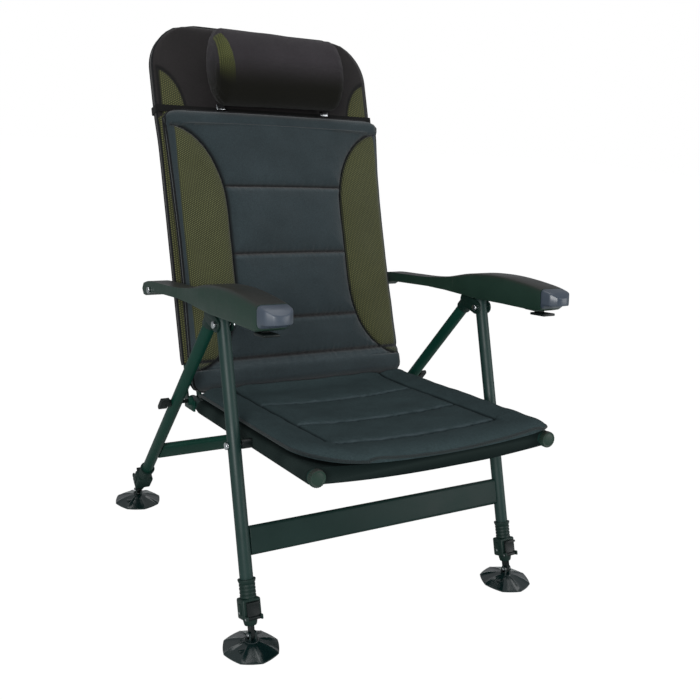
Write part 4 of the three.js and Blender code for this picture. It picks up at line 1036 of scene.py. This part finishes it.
def field_half(up):
    """Half width of the plain middle field between the two mesh side panels."""
    if up > FIELD_UPPER[0]:
        share = (up - FIELD_UPPER[0]) / (FIELD_UPPER[1] - FIELD_UPPER[0])
    elif up < FIELD_LOWER[0]:
        share = (FIELD_LOWER[0] - up) / (FIELD_LOWER[0] - FIELD_LOWER[1])
    else:
        share = 0.0
    if share >= 1.0:
        return NO_FIELD
    return FIELD_HALF + FIELD_SPREAD * (1.0 - math.sqrt(1.0 - share * share))


def past_field(x, up):
    """Signed distance into the mesh side panel, in metres."""
    here = field_half(up)
    if here == NO_FIELD:
        return NO_MESH
    ahead = field_half(up + SLOPE_STEP)
    behind = field_half(up - SLOPE_STEP)
    slope = 0.0 if NO_FIELD in (ahead, behind) else (ahead - behind) / (2 * SLOPE_STEP)
    return (abs(x) - here) / math.sqrt(1.0 + slope * slope)


def back_half(up):
    half = min(
        corner_width(BACK_HALF, BACK_CORNER, BACK_HIGH - up),
        corner_width(BACK_HALF - BACK_FOOT_IN, BACK_FOOT_CORNER, up - BACK_LOW),
    )
    waist, waist_up, waist_turn = BACK_WAIST
    flare, flare_from, flare_reach = BACK_FLARE
    half -= waist * math.cos((up - waist_up) * waist_turn)
    return half + flare * max(0.0, (up - flare_from) / flare_reach) ** 2


def back_lift(up):
    """How far the pad's top leans away from the rear layer."""
    lift, lift_from, lift_reach = BACK_LIFT
    return lift * between_0_and_1((up - lift_from) / lift_reach) ** 1.5


def back_outline(across, along):
    up = BACK_LOW + (BACK_HIGH - BACK_LOW) * (along + 1) / 2
    return across * back_half(up), up


def back_zone(x, up):
    return min(past_field(x, up), BACK_HALF - MESH_INSET - abs(x))


def back_seam(x, up):
    nearest = abs(past_field(x, up))
    if abs(x) < field_half(up):
        nearest = min([nearest] + [abs(up - seam) for seam in BACK_SEAMS])
    return min(nearest, abs(up - LUMBAR_SEAM))


def back_lip(x, up):
    """Painted highlight on the edge below each cross seam, which catches the light, and a lighter band over the
    lumbar roll in the same highlight colour.
    """
    lines = 0.0
    if abs(x) < field_half(up) - SEAM_PAST_FIELD:
        lines = sum(crease(seam - BACK_LIP_DOWN - up, BACK_LIP_WIDTH) for seam in BACK_SEAMS)
    roll = crease(up - LUMBAR_SEAM + ROLL_LIP_DOWN, ROLL_LIP_WIDTH)
    roll *= ROLL_BAND_SHARE + uneven(x, up, ROLL_BAND_NOISE)
    return min(1.0, lines * (BACK_LIP_SHARE + uneven(x, up, BACK_LIP_HIGHLIGHT_NOISE)) + roll)


def back_height(x, up, side):
    ends = min(BACK_HIGH - up, up - BACK_LOW)
    form = quarter_round(back_half(up) - abs(x), *BACK_EDGE) * quarter_round(ends, *BACK_EDGE)
    lift = back_lift(up)
    if side < 0:
        return lift + BACK_RIM * (1.0 - form)
    seams = back_seam(x, up)
    swell = BACK_PUFF * puff(seams, BACK_PUFF_REACH)
    if abs(x) >= field_half(up):
        swell *= MESH_PUFF_SHARE
    crown = BACK_CROWN * math.cos(min(abs(x) / BACK_HALF, 1.0) * math.pi / 2)
    crown += ridge(up, *LUMBAR)
    line = ridge(seams, *BACK_SEAM)
    thick = BACK_THICK + crown + swell - line + quilting(x, up, seams, BACK_RIPPLE, BACK_PUCKER)
    return lift + BACK_RIM + (thick - BACK_RIM) * form


def make_back_pad():
    place = back_place @ facing_front @ Matrix.Translation((0, 0, BACK_STANDOFF))
    shape = (back_outline, back_height, back_zone, back_seam, back_lip)
    pieces = [make_padded("back_cushion", (190, 230), shape, place, "backrest", "pad_fabric", "pad_fabric",
                          ["back_pad"])]
    edge = outline_points(back_outline, EDGE_STEPS)
    for name, side in (("back_cushion_piping", 1), ("back_cushion_rear_piping", -1)):
        run = [place @ Vector((x, up, back_height(x, up, side) - side * PIPING_SUNK)) for x, up in edge]
        pieces.append(add_piping(name, run, PIPING_RADIUS, "backrest", "pad_fabric", "dark_piping"))
    for piece in pieces:
        flatten_when_folded(piece)


# Seat pad


def over_middle(x):
    """One in the middle between the rails, zero over the rails."""
    return max(0.0, 1.0 - (x / RAIL_X) ** 2)


def seat_half(x_sign, back):
    return min(
        corner_width(SEAT_HALF, SEAT_FRONT_ROUND[x_sign], back - SEAT_FRONT),
        corner_width(SEAT_HALF, SEAT_REAR_ROUND, SEAT_REAR - back),
    )


def seat_outline(across, along):
    back = SEAT_FRONT + (SEAT_REAR - SEAT_FRONT) * (along + 1) / 2
    bow = SEAT_BOW * (1.0 - across * across) * max(0.0, 1.0 - (along + 1) * 3)
    return across * seat_half(-1 if across < 0 else 1, back), back - bow


def seat_seam(x, back):
    lines = [abs(abs(x) - (SEAT_HALF - SEAT_BORDER)) if back > SEAT_SEAMS[0] else 1.0]
    if abs(x) < SEAT_HALF - SEAT_BORDER:
        lines += [abs(back - seam) for seam in SEAT_SEAMS]
    return min(lines)


def seat_lip(x, back):
    """Painted highlight on the lighter edge in front of each cross seam, where the light catches it."""
    if abs(x) > SEAT_HALF - SEAT_BORDER:
        return 0.0
    lines = sum(crease(back - seam - SEAT_LIP_OUT, SEAT_LIP_WIDTH) for seam in SEAT_SEAMS)
    return min(1.0, lines * (SEAT_LIP_SHARE + uneven(x, back, SEAT_LIP_HIGHLIGHT_NOISE)))


def seat_height(x, back, side):
    half = seat_half(-1 if x < 0 else 1, back)
    form = quarter_round(half - abs(x), *SEAT_SIDES_ROUND)
    form *= quarter_round(back - SEAT_FRONT, *SEAT_FRONT_EDGE)
    form *= quarter_round(SEAT_REAR - back, *SEAT_REAR_EDGE)
    floor = SEAT_UNDER - SEAT_DIP * over_middle(x)
    if side < 0:
        return floor + SEAT_UNDER_RISE * (1.0 - form)
    seams = seat_seam(x, back)
    swell = SEAT_PUFF * puff(seams, SEAT_PUFF_REACH) - ridge(seams, *SEAT_SEAM)
    share = between_0_and_1((back - SEAT_REAR_LIFT_FROM) / SEAT_REAR_LIFT_REACH)
    swell += share * share * (SEAT_REAR_LIFT[0] + SEAT_REAR_LIFT[1] * over_middle(x))
    thick = SEAT_THICK + swell + quilting(x, back, seams, SEAT_RIPPLE, SEAT_PUCKER)
    past = back - UNDER_BACK_FROM
    under_back = UNDER_BACK_HEIGHT - UNDER_BACK_SLOPES[0] * past + UNDER_BACK_SLOPES[1] * max(0.0, -past)
    return floor + SEAT_RIM + (min(thick, under_back - floor) - SEAT_RIM) * form


def make_seat_pad():
    shape = (seat_outline, seat_height, nowhere, seat_seam, seat_lip)
    # The seat cushion takes seat_fabric, the lighter copy of the pad cloth that is painted light.
    cushion = make_padded("seat_cushion", (180, 180), shape, seat_place, "seat", "pad_fabric", "seat_fabric",
                          ["seat_pad"])
    edge = outline_points(seat_outline, SEAT_EDGE_STEPS)
    run = [seat_place @ Vector((x, back, seat_height(x, back, 1) - PIPING_SUNK)) for x, back in edge]
    # The seat's cord takes the lighter piping, a painted highlight.
    piping = add_piping("seat_cushion_piping", run, PIPING_RADIUS, "seat", "pad_fabric", "piping")
    for piece in (cushion, piping):
        flatten_when_folded(piece)


# Sling under the seat: sleeves round the rails and a sagging belly


def sling_section():
    points = []
    for sign, start in ((1, -90), (-1, 90)):
        for step in range(SLING_TURN + 1):
            angle = math.radians(start + 180 * step / SLING_TURN)
            points.append((sign * RAIL_X + SLEEVE_RADIUS * math.cos(angle), SLEEVE_RADIUS * math.sin(angle)))
        for step in range(1, SLING_STEPS):
            x = sign * RAIL_X * (1 - 2 * step / SLING_STEPS)
            upper = SLEEVE_RADIUS - SEAT_DIP * over_middle(x)
            lower = -SLEEVE_RADIUS - (SLING_BELLY - SLEEVE_RADIUS) * over_middle(x)
            points.append((x, upper - SLING_OFF if sign > 0 else lower))
    return points


def sling_cloth(face, vert):
    x, back, up = vert.co
    return x, up if abs(face.normal.y) > 0.7 else back


def make_sling():
    bm = bmesh.new()
    front = bm.faces.new([bm.verts.new((x, SLING_FRONT, up)) for x, up in sling_section()])
    row = (SLING_REAR - SLING_FRONT) / SLING_ROWS
    faces = [front]
    for _ in range(SLING_ROWS):
        pulled = bmesh.ops.extrude_face_region(bm, geom=faces)["geom"]
        bmesh.ops.translate(bm, verts=of_kind(pulled, bmesh.types.BMVert), vec=(0, row, 0))
        old = [item for item in faces if item.is_valid and item is not front]
        if old:
            bmesh.ops.delete(bm, geom=old, context="FACES_ONLY")
        faces = of_kind(pulled, bmesh.types.BMFace)
    bmesh.ops.recalc_face_normals(bm, faces=bm.faces)
    painted_light_layer = bm.verts.layers.float.new("tone")
    for vert in bm.verts:
        x, back, up = vert.co
        # Painted light: the outer half of each sleeve lightens towards the painted light colour, in uneven
        # patches, in place of the lit side and sheen of the sleeve.
        outward = (abs(x) - RAIL_X) / SLEEVE_RADIUS + SLEEVE_LIT_FROM
        vert[painted_light_layer] = between_0_and_1(outward) * (SLEEVE_LIGHT_SHARE + uneven(x, back, SLEEVE_LIGHT_NOISE))
        if up < 0:
            vert.co.z += uneven(x, back, SLING_WRINKLE) * over_middle(x)
    lay_cloth(bm, sling_cloth)
    piece = finish_piece("seat_underlay", bm, seat_place, "seat", "sleeve_fabric", None, ["seat_sling"], 50.0)


# Rear layer of the backrest


def cover_taper(up):
    """One above the pad, falling to zero beside it, where the layer hugs the tube."""
    taper_up, reach = COVER_TAPER
    return 1.0 / (1.0 + math.exp((taper_up - up) / reach))


def cover_half(up):
    tight = COVER_TIGHT + (COVER_HALF - COVER_TIGHT) * cover_taper(up)
    return corner_width(tight, COVER_CORNER, COVER_HIGH - up)


def cover_outline(across, along):
    up = COVER_LOW + (COVER_HIGH - COVER_LOW) * (along + 1) / 2
    return across * cover_half(up), up


def cover_zone(x, up):
    """Signed distance into the mesh inserts at the lower corners of the headrest."""
    width, height = COVER_MESH
    from_corner = ((COVER_HALF - abs(x)) / width) ** 2 + (max(up - COVER_MESH_FROM, 0.0) / height) ** 2
    edge = COVER_HALF - COVER_MESH_INSET[up > COVER_MESH_EDGE_FROM] - abs(x)
    return min((1.0 - math.sqrt(from_corner)) * COVER_MESH_REACH, edge)


def cover_seam(x, up):
    return abs(cover_zone(x, up)) if up > COVER_MESH_FROM else 1.0


def cover_height(x, up, side):
    form = quarter_round(cover_half(up) - abs(x), COVER_EDGE, COVER_ROUND)
    form *= quarter_round(COVER_HIGH - up, COVER_EDGE, COVER_ROUND)
    form *= quarter_round(up - COVER_LOW, COVER_EDGE, COVER_FOOT_ROUND)
    thick = COVER_TIGHT_DEPTH + (COVER_DEPTH / 2 - COVER_TIGHT_DEPTH) * cover_taper(up)
    if side > 0 and up > COVER_SEAM_FROM:
        thick -= ridge(cover_zone(x, up), *COVER_SEAM)
    return side * (COVER_RIM + (thick - COVER_RIM) * form) + uneven(x, up, COVER_RIPPLE[side]) * form


def make_back_cover():
    place = back_place @ facing_front
    shape = (cover_outline, cover_height, cover_zone, cover_seam, no_highlight)
    make_padded("back_cover", (150, 190), shape, place, "backrest", "panel_fabric", "panel_fabric",
                ["back_panel"])
    edge = outline_points(cover_outline, EDGE_STEPS)
    for name, side in (("back_cover_front_piping", 1), ("back_cover_rear_piping", -1)):
        run = [place @ Vector((x * COVER_PIPING_SHARE, up, cover_height(x, up, side))) for x, up in edge]
        add_piping(name, run, COVER_PIPING_RADIUS, "backrest", "panel_fabric", "dark_piping")


# Head pillow: a bolster with drawn-in ends and an olive lens panel at one end


def pillow_reach(x, angle):
    """Share of the full radius: smaller at the ends, gathered beside them and a little uneven."""
    to_end = PILLOW_HALF - abs(x)
    size = PILLOW_END_SIZE + (1.0 - PILLOW_END_SIZE) * quarter_round(to_end, *PILLOW_END_ROUND)
    slim = 1.0 - PILLOW_SLIM * (x + PILLOW_HALF) / (2 * PILLOW_HALF)
    gather, folds = PILLOW_GATHER
    gather_at, gather_width = PILLOW_GATHER_AT
    folded = gather * math.sin(angle * folds) * crease(to_end - gather_at, gather_width)
    wobble, along, round_it = PILLOW_WOBBLE
    spot = Vector((x * along, math.cos(angle) * round_it, math.sin(angle) * round_it))
    return size * slim * (1.0 + folded + wobble * noise.noise(spot))


def pillow_zone(x, angle):
    """Signed distance into the lens panel, which starts at the pillow's left end."""
    from_front = abs((math.degrees(angle) - LENS_AT + 180.0) % 360.0 - 180.0)
    lens = LENS_WIDTH * (1.0 - (min(from_front, LENS_REACH) / LENS_REACH) ** 2)
    from_end = x + PILLOW_HALF
    return min(from_end - PILLOW_END_INSET, lens - from_end)


def pillow_painted_shade(angle):
    """Painted shade: the cloth darkens towards the pillow's underside."""
    share = between_0_and_1((0.25 - math.sin(angle)) / 0.9)
    return share * share * (3.0 - 2.0 * share)


def make_pillow():
    bm = bmesh.new()
    zone_layer, painted_light_layer = (bm.verts.layers.float.new(key) for key in ("zone", "tone"))
    turns = [(step / PILLOW_STEPS * 2 - 1) * math.pi / 2 for step in range(PILLOW_STEPS + 1)]
    levels = [PILLOW_HALF * math.sin(turn) for turn in turns]
    pull_up(bm, PILLOW_AROUND, 1.0, levels, lambda angle, x: (pillow_reach(x, angle), x))
    rise = (PILLOW_HIGH - PILLOW_LOW) / 2
    depth = PILLOW_DEPTH / 2
    flat = {}
    for vert in bm.verts:
        across, tall, x = vert.co
        angle = math.atan2(tall, across)
        flat[vert] = (x, angle * (rise + depth) / 2)
        vert[zone_layer] = pillow_zone(x, angle)
        # Painted shade towards the pillow's underside.
        vert[painted_light_layer] = pillow_painted_shade(angle)
        vert.co = (x, across * depth - depth - PILLOW_STANDOFF, PILLOW_LOW + rise + tall * rise)
    lay_cloth(bm, lambda face, vert: flat[vert])
    bmesh.ops.recalc_face_normals(bm, faces=bm.faces)
    piece = finish_piece("neck_pillow", bm, back_place, "pillow", "pillow_fabric", None,
                         ["head_pillow"], 60.0)


def make_pillow_band():
    """A band round the rear layer."""
    off_side, off_front = STRAP_OFF
    corner_x = COVER_HALF + off_side - STRAP_CORNER
    corner_y = COVER_DEPTH / 2 + off_front - STRAP_CORNER
    bm = bmesh.new()
    ring = []
    for quarter, (x_sign, y_sign) in enumerate(((1, 1), (-1, 1), (-1, -1), (1, -1))):
        for step in range(7):
            angle = math.radians(90 * quarter + 15 * step)
            x = x_sign * corner_x + STRAP_CORNER * math.cos(angle)
            y = y_sign * corner_y + STRAP_CORNER * math.sin(angle)
            ring.append(bm.verts.new((x, y, STRAP_UP - STRAP_WIDTH / 2)))
    edges = [bm.edges.new(pair) for pair in zip(ring, ring[1:] + ring[:1])]
    pulled = bmesh.ops.extrude_edge_only(bm, edges=edges)["geom"]
    bmesh.ops.translate(bm, verts=of_kind(pulled, bmesh.types.BMVert), vec=(0, 0, STRAP_WIDTH))
    bmesh.ops.recalc_face_normals(bm, faces=bm.faces)
    bmesh.ops.solidify(bm, geom=bm.faces[:], thickness=STRAP_THICK)
    finish_piece("pillow_strap", bm, back_place, "pillow", "pillow_fabric", "webbing", ["pillow_band"])


def make_pillow_tail(side, sign):
    """A short tail of the band at a pillow's end, and its buckle."""
    x = sign * BUCKLE_X
    front = -(COVER_DEPTH / 2 + TAIL_OFF)
    start, end_at = (Vector((x, front + out, up)) for out, up in TAIL_ENDS)
    tail = bmesh.new()
    add_block(tail, TAIL, (0, 0, 0), TAIL_ROUND)
    turn = (end_at - start).to_track_quat("Z", "Y").to_matrix().to_4x4()
    bmesh.ops.transform(tail, matrix=Matrix.Translation((start + end_at) / 2) @ turn, verts=tail.verts)
    finish_piece(f"pillow_tail_{side}", tail, back_place, "pillow", "pillow_fabric", "webbing")
    buckle = bmesh.new()
    add_block(buckle, BUCKLE, (x, front + BUCKLE_AT[0], BUCKLE_AT[1]), BUCKLE_ROUND, 3)
    finish_piece(f"pillow_buckle_{side}", buckle, back_place, "pillow", "bright_steel")


# Floor, light and camera


def make_stage():
    bm = bmesh.new()
    bmesh.ops.create_grid(bm, x_segments=1, y_segments=1, size=FLOOR_HALF)
    material, tree, shader = start_material("pale_floor", 0.9, 0.1)
    feed(tree, shader, {"Base Color": (0.55, 0.58, 0.57, 1)})
    pale = add_node(tree, "ShaderNodeEmission", {"Color": (1, 1, 1, 1), "Strength": 1.03})
    seen = add_node(tree, "ShaderNodeLightPath").outputs["Is Camera Ray"]
    share = calculate(tree, "MULTIPLY", seen, 0.97)
    mix = add_node(tree, "ShaderNodeMixShader", {0: share, 1: shader.outputs[0], 2: pale.outputs[0]})
    feed(tree, tree.nodes["Material Output"], {"Surface": mix.outputs[0]})
    object_from("floor", bm, material)


def make_world():
    world = bpy.data.worlds.new("studio")
    world.use_nodes = True
    tree = world.node_tree
    tree.nodes.clear()
    paths = add_node(tree, "ShaderNodeLightPath").outputs
    seen = calculate(tree, "MAXIMUM", paths["Is Camera Ray"], paths["Is Transmission Ray"])
    soft = add_node(tree, "ShaderNodeBackground", {"Color": (0.93, 0.96, 1.0, 1), "Strength": 0.34})
    white = add_node(tree, "ShaderNodeBackground", {"Color": (1, 1, 1, 1), "Strength": 1.0})
    mix = add_node(tree, "ShaderNodeMixShader", {0: seen, 1: soft.outputs[0], 2: white.outputs[0]})
    add_node(tree, "ShaderNodeOutputWorld", {"Surface": mix.outputs[0]})
    bpy.context.scene.world = world


def add_lamp(name, at, size, power):
    lamp = bpy.data.lights.new(name, "AREA")
    lamp.size = size
    lamp.energy = power
    holder = add_object(name, lamp)
    holder.location = at
    holder.rotation_euler = (Vector(LAMP_TARGET) - Vector(at)).to_track_quat("-Z", "Y").to_euler()


def make_camera():
    yaw, down, roll = (math.radians(angle) for angle in (CAMERA_YAW, CAMERA_DOWN, CAMERA_ROLL))
    ahead = Vector((math.sin(yaw) * math.cos(down), math.cos(yaw) * math.cos(down), -math.sin(down)))
    level = Vector((math.cos(yaw), -math.sin(yaw), 0))
    above = level.cross(ahead)
    right = level * math.cos(roll) + above * math.sin(roll)
    up = above * math.cos(roll) - level * math.sin(roll)
    turn = Matrix((right, up, -ahead)).transposed().to_4x4()
    lens = bpy.data.cameras.new("photo_camera")
    lens.lens = CAMERA_LENS
    lens.sensor_width = 36.0
    lens.shift_x, lens.shift_y = CAMERA_SHIFT
    camera = add_object("photo_camera", lens)
    camera.matrix_world = Matrix.Translation(CAMERA_AT) @ turn
    bpy.context.scene.camera = camera


make_round_bars()
soften_nodes()
for side, sign in SIDES.items():
    make_end_cap(side, sign)
    for end in ("front", "rear"):
        make_clamp(end, side, sign)
        make_foot(end, side)
make_sling()
make_seat_pad()
make_back_cover()
make_back_pad()
make_pillow()
make_pillow_band()
for side, sign in SIDES.items():
    make_pillow_tail(side, sign)

make_stage()
make_world()
for name, lamp in LAMPS.items():
    add_lamp(name, *lamp)
make_camera()
bpy.context.scene.view_settings.view_transform = "Standard"
